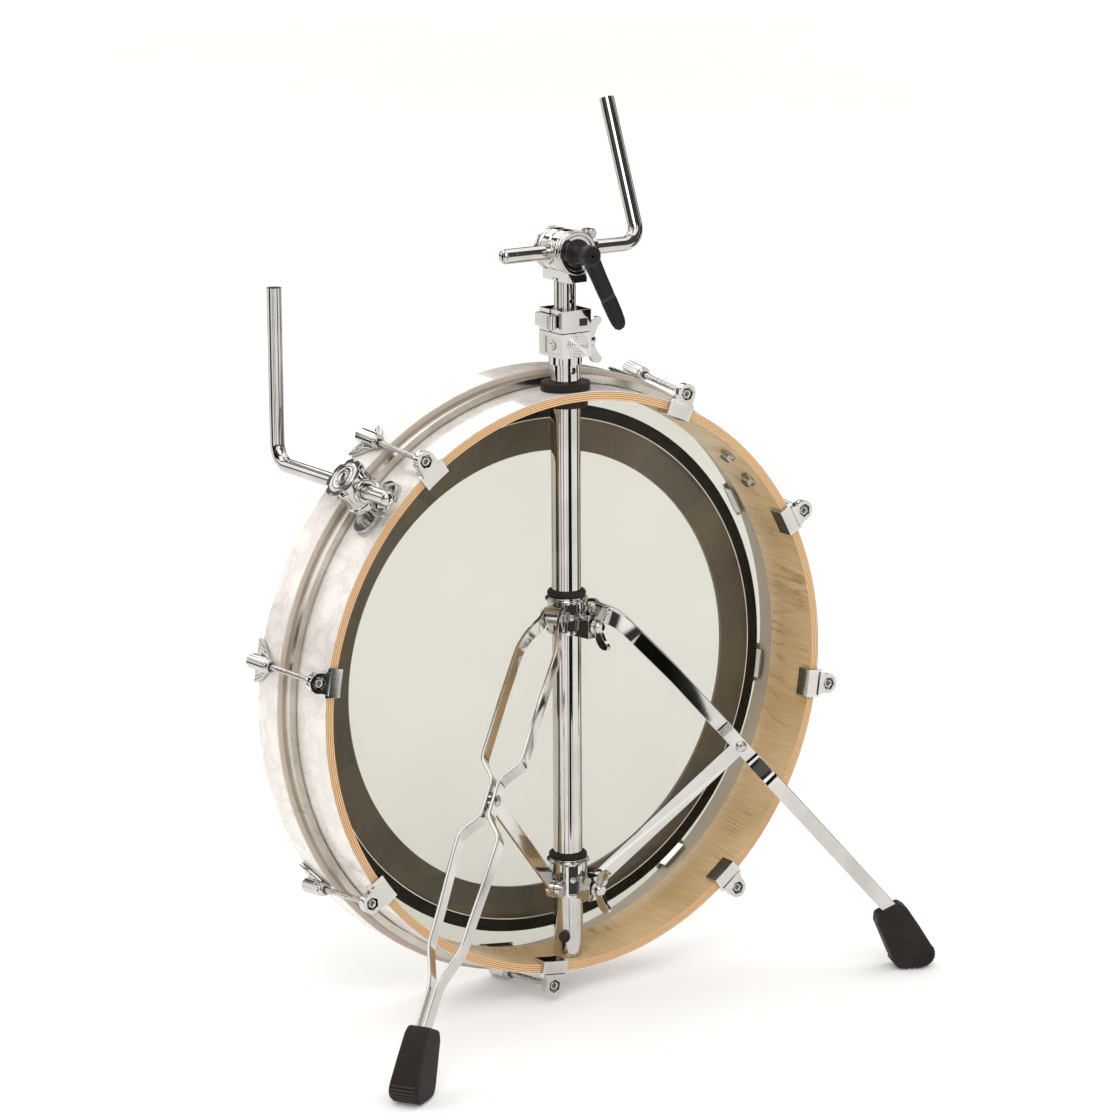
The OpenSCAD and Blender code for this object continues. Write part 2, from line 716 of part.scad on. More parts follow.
module left_leg_bars() placed() color("silver") leg_bars(-1);
module left_knee_pin() placed() color("gray") knee_pin(-1);
module left_boot() placed() color("#2a2a2a") boot(-1);
module left_strut() placed() color("silver") strut(-1);
module right_leg_bars() placed() color("silver") leg_bars(1);
module right_knee_pin() placed() color("gray") knee_pin(1);
module right_boot() placed() color("#2a2a2a") boot(1);
module right_strut() placed() color("silver") strut(1);

// Slots in the sliding collar's ears that the struts' ends lie in
module strut_slots() {
  for (side = [-1, 1]) leg_plane(side)
    translate([17.2, -1.75, strut_pivot_z - 14]) cube([30, 3.5, 28]);
}

module strut_collar() placed() color("silver") difference() {
  union() {
    collar_body(strut_collar_z, 34, strut_pivot_u, strut_pivot_z);
    wing_boss(strut_collar_z - 6);
  }
  wing_hole(strut_collar_z - 6);
  strut_slots();
}

module strut_collar_bush() placed() color("#222222")
  on_column(strut_collar_z + 17) rotate_extrude()
    polygon([[col_r + 0.1, 0], [15.4, 0], [16.5, 1.2], [16.7, 3.2], [15.5, 5],
      [col_r + 0.1, 5]]);

module strut_collar_pins() placed() color("gray") for (side = [-1, 1])
  leg_plane(side) translate([strut_pivot_u, 0, strut_pivot_z])
    headed_pin(2.4, ear_half, 4.6, 1.8);

module strut_wing_bolt() placed() color("silver") collar_wing_bolt(strut_collar_z - 6);

shell();
shell_wrap();
batter_head_film();
flesh_hoop();
batter_hoop();
batter_hoop_wrap();
damping_retainer();
damping_ring();
shell_claws();
hoop_claws();
tension_rods();
column_tube();
column_gasket_outer();
column_gasket_inner();
column_plug();
column_screws();
clamp_body();
clamp_cap();
clamp_gate();
clamp_hinge_pin();
clamp_wing_bolt();
post_glide();
tom_post();
post_head();
tilt_drum();
clamp_bolt();
lever_handle();
lever_screw();
lever_washer();
arm_lock();
arm_lock_screw();
top_arm();
side_flange();
side_gasket();
side_clamp();
side_cap();
side_wing_bolt();
side_screws();
side_arm();
spare_bolts();
leg_collar();
leg_collar_bush();
leg_collar_pins();
leg_wing_bolt();
left_leg_bars();
left_knee_pin();
left_boot();
left_strut();
right_leg_bars();
right_knee_pin();
right_boot();
right_strut();
strut_collar();
strut_collar_bush();
strut_collar_pins();
strut_wing_bolt();
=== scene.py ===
import bpy
import bmesh
import json
import math
from mathutils import Matrix, Vector


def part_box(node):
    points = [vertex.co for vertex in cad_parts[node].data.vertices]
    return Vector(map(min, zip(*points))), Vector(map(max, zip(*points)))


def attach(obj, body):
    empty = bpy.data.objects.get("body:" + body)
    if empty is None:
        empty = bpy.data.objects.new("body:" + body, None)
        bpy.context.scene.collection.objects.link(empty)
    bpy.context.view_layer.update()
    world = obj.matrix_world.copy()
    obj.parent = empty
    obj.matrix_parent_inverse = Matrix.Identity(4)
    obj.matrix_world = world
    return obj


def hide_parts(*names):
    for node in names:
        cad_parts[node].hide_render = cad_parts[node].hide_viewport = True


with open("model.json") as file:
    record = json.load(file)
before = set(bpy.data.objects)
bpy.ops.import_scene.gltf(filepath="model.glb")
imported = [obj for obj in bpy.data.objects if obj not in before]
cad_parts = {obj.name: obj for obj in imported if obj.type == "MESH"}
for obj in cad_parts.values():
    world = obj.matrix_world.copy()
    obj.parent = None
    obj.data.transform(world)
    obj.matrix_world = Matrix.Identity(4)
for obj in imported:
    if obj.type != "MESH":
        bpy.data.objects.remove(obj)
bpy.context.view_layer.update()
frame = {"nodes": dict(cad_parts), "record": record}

MM = 0.001
nodes = frame["nodes"]

# ---------- The drum's own frame, taken from the CAD ----------

shell_lo, shell_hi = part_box("shell")
column_lo, column_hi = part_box("column_tube")
arm_lo, arm_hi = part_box("clamp_bolt")
ORIGIN = Vector(((shell_lo.x + shell_hi.x) / 2, shell_lo.y,
                 (shell_lo.z + shell_hi.z) / 2))
COL_Y = (column_lo.y + column_hi.y) / 2 - ORIGIN.y
ARM_Z = (arm_lo.z + arm_hi.z) / 2 - ORIGIN.z

DRUM = Matrix.Translation(ORIGIN) @ Matrix.Scale(MM, 4)
COLUMN = DRUM @ Matrix.Translation((0, COL_Y / MM, 0))

# Sizes repeated from the CAD source, in millimetres and degrees
STATIONS = (28, 66, 126, 171, 216, 263, 308, 352)
SHELL_R, HOOP_IN_R, HOOP_WRAP_R, HOOP_Y1 = 254, 256, 266.8, 90
ROD_R0, ROD_TILT = 265.6, 6
SIDE_ANGLE, SIDE_R, SIDE_STUB, SIDE_BOLT_X = 137.1, 286, 30, 14.2
TOP_STUB, TOP_LEAN, LEVER_DROP = 60, 22, 27
BASE_TURN, LEG_SPREAD, WING_ANGLE = 4.5, 62.5, 8
LEG_PIVOT, KNEE, STRUT_PIVOT = (24, 62), (153, -67), (26, -180)
LEG_LINE = (LEG_PIVOT, (46, 51), (92, 3), KNEE, (298, -233.8))
BAR_SPREAD = ((10, 8.3), (30, 8.3), (62, 18), (128, 18), (144, 3.3), (162, 3.3),
              (178, 18), (238, 15), (268, 3.4), (300, 3.4))
BAR_W, BAR_T = 13, 3
FLOOR_Z = -278.6
BOOT_TOP, BOOT_DROP = (288, -224), 62      # a boot's top and its slope
CLAMP_WING_Z = 294     # height of the column clamp's wing bolt
# Name, height of the middle, half height and wing bolt's height of each collar
COLLARS = (("leg", 59, 16, 53), ("strut", -175, 17, -181))
UPPER_CLAMP = COLUMN @ Matrix.Translation((0, 0, ARM_Z / MM))

# Points closer than this are joined, in metres: in new meshes and in the CAD's
MERGE, CAD_MERGE = 2e-6, 2e-5


# ---------- Node helpers ----------

def set_stops(ramp_node, stops):
    """Fills a colour ramp from (place, colour) pairs; a number stands for a grey."""
    ramp = ramp_node.color_ramp.elements
    while len(ramp) < len(stops):
        ramp.new(0.5)
    for element, (position, colour) in zip(ramp, stops):
        element.position = position
        if isinstance(colour, (int, float)):
            colour = (colour,) * 3
        element.color = (*colour, 1.0)


class Shader:
    """Builds one procedural material from short calls."""

    def __init__(self, name):
        self.mat = bpy.data.materials.new(name)
        self.mat.use_nodes = True
        self.tree = self.mat.node_tree
        self.bsdf = self.tree.nodes["Principled BSDF"]
        self.coords = self.tree.nodes.new("ShaderNodeTexCoord").outputs["Object"]

    def set(self, **values):
        for key, value in values.items():
            self.bsdf.inputs[key.replace("_", " ")].default_value = value

    def link(self, a, b):
        self.tree.links.new(a, b)

    def node(self, kind, **inputs):
        n = self.tree.nodes.new("ShaderNode" + kind)
        for key, value in inputs.items():
            socket = n.inputs[key.replace("_", " ")]
            if isinstance(value, bpy.types.NodeSocket):
                self.link(value, socket)
            else:
                socket.default_value = value
        return n

    def stretched(self, scale):
        return self.node("Mapping", Vector=self.coords, Scale=scale).outputs["Vector"]

    def noise(self, vector, scale, detail=4.0, rough=0.55, distort=0.0):
        n = self.node("TexNoise", Vector=vector, Scale=scale, Detail=detail,
                      Roughness=rough, Distortion=distort)
        return n.outputs["Fac"]

    def math(self, op, a, b=0.0, c=0.0, clamp=False):
        n = self.tree.nodes.new("ShaderNodeMath")
        n.operation = op
        n.use_clamp = clamp
        for i, value in enumerate((a, b, c)):
            if isinstance(value, bpy.types.NodeSocket):
                self.link(value, n.inputs[i])
            else:
                n.inputs[i].default_value = value
        return n.outputs[0]

    def ramp(self, fac, stops):
        n = self.tree.nodes.new("ShaderNodeValToRGB")
        n.color_ramp.interpolation = "EASE"
        set_stops(n, stops)
        self.link(fac, n.inputs["Fac"])
        return n.outputs["Color"]

    def mix(self, fac, a, b, blend="MIX"):
        n = self.tree.nodes.new("ShaderNodeMix")
        n.data_type = "RGBA"
        n.blend_type = blend
        for socket, value in ((n.inputs["Factor"], fac), (n.inputs[6], a),
                              (n.inputs[7], b)):
            if isinstance(value, bpy.types.NodeSocket):
                self.link(value, socket)
            elif isinstance(value, tuple):
                socket.default_value = (*value, 1.0)
            else:
                socket.default_value = value
        return n.outputs[2]

    def colour(self, value):
        self.link(value, self.bsdf.inputs["Base Color"])

    def rough(self, fac, low, high):
        n = self.node("MapRange", Value=fac, To_Min=low, To_Max=high)
        self.link(n.outputs[0], self.bsdf.inputs["Roughness"])

    def bump(self, height, strength, distance):
        n = self.node("Bump", Height=height, Strength=strength, Distance=distance)
        self.link(n.outputs["Normal"], self.bsdf.inputs["Normal"])

    def edges(self):
        """1 on outer edges, 0 elsewhere: worn edges on the dark finishes and a painted highlight
        on the chrome.
        """
        n = self.tree.nodes.new("ShaderNodeNewGeometry")
        return self.math("MULTIPLY_ADD", n.outputs["Pointiness"], 12.0, -6.35, True)


# ---------- Materials ----------

def make_chrome():
    s = Shader("chrome")
    s.set(Metallic=1.0)
    haze = s.noise(s.coords, 24.0, 5.0)
    fine = s.noise(s.coords, 900.0, 2.0)
    tone = s.ramp(haze, [(0.3, (0.50, 0.487, 0.462)), (0.62, (0.595, 0.583, 0.562))])
    # Brighter chrome on the outer edges is a painted highlight
    s.colour(s.mix(s.edges(), tone, (0.74, 0.73, 0.71)))
    s.rough(haze, 0.03, 0.10)
    s.bump(s.math("MULTIPLY_ADD", fine, 0.15, haze), 0.04, 0.0006)
    return s.mat


def make_steel():
    s = Shader("steel")
    s.set(Metallic=1.0)
    grain = s.noise(s.coords, 320.0, 5.0)
    s.colour(s.ramp(grain, [(0.3, (0.42, 0.41, 0.39)), (0.7, (0.66, 0.65, 0.62))]))
    s.rough(grain, 0.18, 0.36)
    s.bump(grain, 0.12, 0.0002)
    return s.mat


def make_black_steel():
    s = Shader("black_steel")
    s.set(Metallic=0.6)
    grain = s.noise(s.coords, 260.0, 5.0)
    dark = s.ramp(grain, [(0.3, (0.012, 0.012, 0.013)), (0.7, (0.03, 0.029, 0.028))])
    s.colour(s.mix(s.edges(), dark, (0.16, 0.15, 0.14)))
    s.rough(grain, 0.22, 0.4)
    s.bump(grain, 0.1, 0.0002)
    return s.mat


def centred(s):
    """A point's place along the drum's axis and its distance from that axis."""
    shift = s.node("Mapping", Vector=s.coords,
                   Location=(-ORIGIN.x, -ORIGIN.y, -ORIGIN.z))
    xyz = s.node("SeparateXYZ", Vector=shift.outputs["Vector"])
    x, y, z = (xyz.outputs[k] for k in range(3))
    radius = s.math("SQRT", s.math("ADD", s.math("MULTIPLY", x, x),
                                   s.math("MULTIPLY", z, z)))
    return y, radius


def make_maple(name, ply_pitch, ply_from, pale=0.0):
    s = Shader(name)
    s.set(Coat_Weight=0.35, Coat_Roughness=0.22)
    _, radius = centred(s)
    board = s.noise(s.stretched((1.0, 0.35, 1.0)), 5.0, 3.0, 0.5, 0.6)
    broad = s.ramp(board, [(0.28, (0.65, 0.43, 0.20)), (0.5, (0.82, 0.585, 0.315)),
                           (0.74, (0.91, 0.71, 0.43))])
    # Contour lines of a slow noise make the cut's wandering figure
    wander = s.noise(s.stretched((1.0, 0.22, 1.0)), 9.0, 5.0, 0.6, 1.4)
    bands = s.math("PINGPONG", s.math("MULTIPLY", wander, 9.0), 0.5)
    line = s.ramp(bands, [(0.0, 1.0), (0.06, 0.55), (0.18, 0.0)])
    patch = s.ramp(s.noise(s.coords, 11.0, 2.0), [(0.42, 0.0), (0.62, 0.75)])
    figure = s.mix(s.math("MULTIPLY", line, patch), broad, (0.30, 0.145, 0.05))
    fibre = s.noise(s.stretched((1.0, 0.05, 1.0)), 420.0, 4.0, 0.65)
    face = s.mix(0.22, figure, s.ramp(fibre, [(0.3, (0.42, 0.25, 0.10)),
                                              (0.7, (0.92, 0.72, 0.45))]))
    # Plies show as rings on the faces that look along the axis
    normal = s.tree.nodes.new("ShaderNodeNewGeometry").outputs["Normal"]
    facing = s.math("ABSOLUTE", s.node("SeparateXYZ", Vector=normal).outputs[1])
    edge = s.math("MULTIPLY_ADD", facing, 6.0, -2.6, True)
    step = s.math("DIVIDE", s.math("SUBTRACT", radius, ply_from), ply_pitch)
    step = s.math("MULTIPLY_ADD", fibre, 0.18, step)
    wave = s.math("PINGPONG", step, 0.5)
    plies = s.ramp(wave, [(0.04, (0.34, 0.13, 0.03)), (0.2, (0.60, 0.32, 0.12)),
                          (0.36, (0.80, 0.55, 0.30))])
    wood = s.mix(edge, face, plies)
    s.colour(s.mix(pale, wood, (0.60, 0.535, 0.475)))
    s.rough(fibre, 0.30, 0.46)
    s.bump(fibre, 0.08, 0.0003)
    return s.mat


def make_pearl():
    s = Shader("pearl")
    s.set(Coat_Weight=0.8, Coat_Roughness=0.06, Sheen_Weight=0.08)
    warp = s.node("TexNoise", Vector=s.coords, Scale=14.0, Detail=3.0)
    bent = s.node("VectorMath", Vector=warp.outputs["Color"])
    bent.operation = "MULTIPLY_ADD"
    bent.inputs[1].default_value = (0.055, 0.055, 0.055)
    s.link(s.coords, bent.inputs[2])
    cells = s.node("TexVoronoi", Vector=bent.outputs[0], Scale=34.0)
    cells.feature = "SMOOTH_F1"
    swirl = s.noise(bent.outputs[0], 26.0, 4.0, 0.6, 2.2)
    depth = s.math("MULTIPLY_ADD", cells.outputs["Distance"], 0.55,
                   s.math("MULTIPLY", swirl, 0.7))
    s.colour(s.ramp(depth, [(0.28, (0.95, 0.91, 0.87)), (0.46, (0.90, 0.85, 0.80)),
                            (0.60, (0.80, 0.74, 0.69)), (0.78, (0.93, 0.885, 0.84))]))
    s.rough(depth, 0.16, 0.34)
    s.bump(depth, 0.06, 0.0004)
    return s.mat


def make_film():
    """Tinted clear film: it lets most light straight through and mirrors a little."""
    s = Shader("film")
    s.set(Coat_Weight=0.3, Coat_Roughness=0.04, IOR=1.45)
    haze = s.noise(s.coords, 6.0, 3.0)
    fine = s.noise(s.coords, 240.0, 3.0)
    s.colour(s.ramp(haze, [(0.3, (0.30, 0.27, 0.20)), (0.7, (0.40, 0.37, 0.29))]))
    s.rough(fine, 0.12, 0.22)
    s.bump(haze, 0.05, 0.0008)
    tint = s.ramp(haze, [(0.3, (0.808, 0.806, 0.766)), (0.7, (0.830, 0.828, 0.794))])
    clear = s.node("BsdfTransparent", Color=tint)
    veil = s.math("MULTIPLY_ADD", haze, 0.03, 0.03)
    both = s.node("MixShader", Fac=veil)
    s.link(clear.outputs[0], both.inputs[1])
    s.link(s.bsdf.outputs[0], both.inputs[2])
    s.link(both.outputs[0], s.tree.nodes["Material Output"].inputs["Surface"])
    return s.mat


def make_aluminium():
    s = Shader("flesh_aluminium")
    s.set(Metallic=1.0)
    y, radius = centred(s)
    lines = s.noise(s.node("CombineXYZ", X=radius, Y=y).outputs[0], 2600.0, 2.0)
    cloud = s.noise(s.coords, 16.0, 4.0)
    s.colour(s.ramp(cloud, [(0.3, (0.46, 0.43, 0.37)), (0.7, (0.66, 0.63, 0.57))]))
    s.rough(cloud, 0.14, 0.26)
    s.bump(lines, 0.10, 0.0001)
    return s.mat


def make_black(name, low, high, grain_scale, rough, bump, worn):
    s = Shader(name)
    s.set(Specular_IOR_Level=0.22)
    grain = s.noise(s.coords, grain_scale, 4.0, 0.65)
    cloud = s.noise(s.coords, 22.0, 3.0)
    tone = s.ramp(s.math("MULTIPLY_ADD", grain, 0.5, s.math("MULTIPLY", cloud, 0.5)),
                  [(0.35, low), (0.65, high)])
    s.colour(s.mix(s.edges(), tone, worn))
    s.rough(grain, *rough)
    s.bump(grain, *bump)
    return s.mat


def make_damping():
    s = Shader("damping")
    s.set(Alpha=0.94, Coat_Weight=0.15, Coat_Roughness=0.3)
    weave = s.noise(s.coords, 380.0, 4.0, 0.7)
    cloud = s.noise(s.coords, 5.0, 3.0, 0.5, 0.5)
    s.colour(s.ramp(s.math("MULTIPLY_ADD", weave, 0.16, s.math("MULTIPLY", cloud, 0.84)),
                    [(0.3, (0.14, 0.108, 0.082)), (0.52, (0.24, 0.20, 0.155)),
                     (0.72, (0.46, 0.41, 0.34))]))
    s.rough(weave, 0.35, 0.6)
    s.bump(weave, 0.15, 0.0004)
    return s.mat


SLOT = {
    "chrome": make_chrome(),
    "steel": make_steel(),
    "black_steel": make_black_steel(),
    "maple": make_maple("maple", 0.00175, 0.247),
    "pearl": make_pearl(),
    "film": make_film(),
    "flesh_aluminium": make_aluminium(),
    "black_plastic": make_black("black_plastic", (0.003,) * 3, (0.009,) * 3, 700.0,
                                (0.22, 0.36), (0.12, 0.0003), (0.045,) * 3),
    "damping": make_damping(),
    "lever_black": make_black("lever_black", (0.007, 0.006, 0.006),
                              (0.016, 0.015, 0.014), 900.0, (0.24, 0.38),
                              (0.10, 0.0002), (0.06,) * 3),
    "rubber": make_black("rubber", (0.010, 0.0078, 0.0062), (0.026, 0.020, 0.016),
                         520.0, (0.5, 0.75), (0.45, 0.0006), (0.06, 0.05, 0.042)),
}

# Every CAD node takes the finish of its slot in the record
slot_of = {part["node"]: part["material_slot"] for part in frame["record"]["subparts"]}
for name, obj in nodes.items():
    finish = SLOT[slot_of[name]]
    if not obj.data.materials:
        obj.data.materials.append(finish)
    for k in range(len(obj.material_slots)):
        obj.material_slots[k].material = finish
pale_rubber = make_black("rubber_pale", (0.34, 0.32, 0.30), (0.46, 0.44, 0.42), 520.0,
                         (0.5, 0.7), (0.3, 0.0004), (0.5, 0.48, 0.46))
for material_slot in nodes["side_gasket"].material_slots:
    material_slot.material = pale_rubber
hoop_wood = make_maple("maple_sealed", 0.0022, 0.256, 0.86)
for material_slot in nodes["batter_hoop"].material_slots:
    material_slot.material = hoop_wood


# ---------- Soft edges on the CAD nodes that stay ----------

def soften(name, width, segments=2):
    obj = nodes[name]
    weld = obj.modifiers.new("weld", "WELD")
    weld.merge_threshold = CAD_MERGE
    bevel = obj.modifiers.new("bevel", "BEVEL")
    bevel.width = width * MM
    bevel.segments = segments
    bevel.limit_method = "ANGLE"
    bevel.angle_limit = math.radians(38)
    bevel.use_clamp_overlap = True
    obj.modifiers.new("normals", "WEIGHTED_NORMAL").weight = 60


# ---------- Mesh building ----------

def move(x=0.0, y=0.0, z=0.0):
    return Matrix.Translation((x, y, z))


def turn(axis, degrees):
    return Matrix.Rotation(math.radians(degrees), 4, axis)


def station(angle):
    """Frame of a place round the drum: X outward, Y along the drum's axis."""
    return DRUM @ turn("Y", -angle)


def facing_y(y=0.0):
    """Local Z runs along +Y."""
    return move(y=y) @ turn("X", -90)


def facing_x(x=0.0):
    """Local Z runs along +X."""
    return move(x=x) @ turn("Y", 90)


def leg_plane(side):
    return COLUMN @ turn("Z", -90 + BASE_TURN + side * LEG_SPREAD)


def circle(radius, count, centre=(0, 0), start=0.0):
    return [(centre[0] + radius * math.cos(start + math.tau * k / count),
             centre[1] + radius * math.sin(start + math.tau * k / count))
            for k in range(count)]


def curved(points, steps=6, closed=True):
    """A smooth line of points through the given ones (Catmull-Rom)."""
    out, n = [], len(points)
    for i in range(n if closed else n - 1):
        if closed:
            quad = [points[(i + k) % n] for k in (-1, 0, 1, 2)]
        else:
            quad = [points[min(max(i + k, 0), n - 1)] for k in (-1, 0, 1, 2)]
        for k in range(steps):
            t = k / steps
            out.append(tuple(
                0.5 * (2 * b + (c - a) * t + (2 * a - 5 * b + 4 * c - d) * t * t
                       + (3 * b - a - 3 * c + d) * t ** 3)
                for a, b, c, d in zip(*quad)))
    if not closed:
        out.append(tuple(map(float, points[-1])))
    return out


def blend_table(table, u):
    """Smooth value from a table of (place, value) pairs."""
    if u <= table[0][0]:
        return table[0][1]
    for (a, va), (b, vb) in zip(table, table[1:]):
        if u <= b:
            t = (u - a) / (b - a)
            return va + (vb - va) * t * t * (3 - 2 * t)
    return table[-1][1]


class Piece:
    """A new mesh, drawn in millimetres in any frame, that rides on a body."""

    def __init__(self, name, slot, body, *replaced, bevel=0.5, segments=2,
                 angle=32.0):
        self.name, self.slot, self.body, self.replaced = name, slot, body, replaced
        self.bevel, self.segments, self.angle = bevel, segments, angle
        self.bm = bmesh.new()

    def rings(self, loops, cap_start=True, cap_end=True, closed=False):
        """Skins a row of equal loops of world points."""
        rows = [[self.bm.verts.new(p) for p in loop] for loop in loops]
        pairs = list(zip(rows, rows[1:]))
        if closed:
            pairs.append((rows[-1], rows[0]))
        for a, b in pairs:
            for k in range(len(a)):
                j = (k + 1) % len(a)
                self.bm.faces.new((a[k], a[j], b[j], b[k]))
        if not closed:
            if cap_start:
                self.bm.faces.new(rows[0][::-1])
            if cap_end:
                self.bm.faces.new(rows[-1])

    def lathe(self, m, profile, count=48, hollow=False):
        """Turns (radius, z) pairs round the frame's Z."""
        loops = []
        for r, z in profile:
            r = max(r, 1e-4)
            loops.append([m @ Vector((x, y, z)) for x, y in circle(r, count)])
        self.rings(loops, closed=hollow)

    def prism(self, m, outline, z0, z1):
        self.rings([[m @ Vector((x, y, z)) for x, y in outline] for z in (z0, z1)])

    def plate(self, m, outlines, z0, z1):
        """A flat plate with holes: the first outline is the outer one."""
        curve = bpy.data.curves.new("outline", "CURVE")
        curve.dimensions = "2D"
        curve.fill_mode = "BOTH"
        curve.extrude = (z1 - z0) / 2
        for points in outlines:
            spline = curve.splines.new("POLY")
            spline.points.add(len(points) - 1)
            for p, (x, y) in zip(spline.points, points):
                p.co = (x, y, 0, 1)
            spline.use_cyclic_u = True
        holder = bpy.data.objects.new("outline", curve)
        mesh = bpy.data.meshes.new_from_object(holder)
        mesh.transform(m @ move(z=(z0 + z1) / 2))
        self.bm.from_mesh(mesh)
        bpy.data.objects.remove(holder)
        bpy.data.curves.remove(curve)
        bpy.data.meshes.remove(mesh)

    def strap(self, m, path, sides, width, thick):
        """A flat bar along path; sides are the unit directions of its width."""
        loops = []
        for i, (p, side) in enumerate(zip(path, sides)):
            ahead = (path[min(i + 1, len(path) - 1)] - path[max(i - 1, 0)]).normalized()
            flat = side.cross(ahead).normalized()
            edge = ahead.cross(flat)
            loops.append([m @ (p + edge * a * width / 2 + flat * b * thick / 2)
                          for a, b in ((-1, -1), (1, -1), (1, 1), (-1, 1))])
        self.rings(loops)

    def block(self, m, x0, x1, y0, y1, z0, z1):
        self.prism(m, [(x0, y0), (x1, y0), (x1, y1), (x0, y1)], z0, z1)

    def done(self):
        bmesh.ops.remove_doubles(self.bm, verts=self.bm.verts, dist=MERGE)
        bmesh.ops.recalc_face_normals(self.bm, faces=self.bm.faces)
        limit = math.radians(self.angle)
        for face in self.bm.faces:
            face.smooth = True
        for edge in self.bm.edges:
            if len(edge.link_faces) == 2 and edge.calc_face_angle(0.0) > limit:
                edge.smooth = self.bevel > 0
        mesh = bpy.data.meshes.new(self.name)
        self.bm.to_mesh(mesh)
        self.bm.free()
        mesh.materials.append(SLOT[self.slot])
        obj = bpy.data.objects.new(self.name, mesh)
        bpy.context.scene.collection.objects.link(obj)
        if self.bevel > 0:
            bevel = obj.modifiers.new("bevel", "BEVEL")
            bevel.width = self.bevel * MM
            bevel.segments = self.segments
            bevel.limit_method = "ANGLE"
            bevel.angle_limit = limit
            bevel.use_clamp_overlap = True
            obj.modifiers.new("normals", "WEIGHTED_NORMAL").weight = 60
        if self.replaced:
            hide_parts(*self.replaced)
        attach(obj, self.body)


# ---------- Claws and rods ----------

def make_shell_claws():
    piece = Piece("claw_set_shell", "chrome", "drum", "shell_claws", bevel=0.7)
    hook = [(243.6, 12.5), (246.6, 12.5), (246.6, -0.1), (257.9, -0.1),
            (257.9, -3.2), (243.6, -3.2)]
    neck = [(255.0, -10.5), (258.2, -9.6), (260.5, -8.7), (ROD_R0, -8.7)]
    tab = (neck + [(ROD_R0 + 8.7 * math.cos(a), 8.7 * math.sin(a))
                   for a in (math.radians(d) for d in range(-80, 90, 10))]
           + [(x, -y) for x, y in reversed(neck)])
    pocket = circle(6.0, 6, (ROD_R0, 0))
    hole = circle(3.1, 24, (ROD_R0, 0))
    for angle in STATIONS:
        m = station(angle)
        loops = []
        for k in range(9):
            swing = turn("Y", (k / 8 - 0.5) * 2 * 2.85)
            loops.append([m @ swing @ Vector((x, y, 0)) for x, y in hook])
        piece.rings(loops)
        side = m @ turn("X", 90)
        piece.plate(side, [tab, pocket], 0.6, 4.6)
        piece.plate(side, [tab, hole], -3.0, 0.6)
        # fluted plate that lies on the shell behind the tab
        for z in (-6.6, -2.2, 2.2, 6.6):
            reach = 13.6 - abs(z) * 0.7
            piece.lathe(m @ move(256.6, 0, z) @ facing_y(-0.4),
                        [(0, 0), (2.1, 0), (2.1, reach - 3), (1.2, reach), (0, reach + 0.6)], 16)
    piece.done()


def rod_line(angle):
    return station(angle) @ move(x=ROD_R0) @ turn("Z", -ROD_TILT) @ turn("X", -90)


def make_rods():
    piece = Piece("rod_set", "steel", "drum", "tension_rods", bevel=0.0, angle=40)
    threads = []
    for k in range(9):
        threads += [(2.6, 55 + k * 0.9), (2.48, 55.45 + k * 0.9)]
    for angle in STATIONS:
        m = rod_line(angle)
        piece.lathe(m, [(0, -1.2), (2.5, -1.2), (2.5, 54.4)] + threads
                    + [(2.5, 64), (2.5, 86), (0, 86)], 24)
        piece.lathe(m, [(0, -1.0), (4.1, -1.0), (4.1, -3.0), (3.5, -3.8), (2.5, -3.9),
                        (2.2, -3.6), (2.1, -1.9), (0, -1.9)], 24)
    piece.done()
    # Dark hexes at the bottom of the rod heads' recesses are painted shade in the sockets
    socket_shades = Piece("rod_socket_painted_shade", "black_steel", "drum", bevel=0.0)
    for angle in STATIONS:
        socket_shades.prism(rod_line(angle), circle(2.15, 6), -2.0, -1.7)
    socket_shades.done()


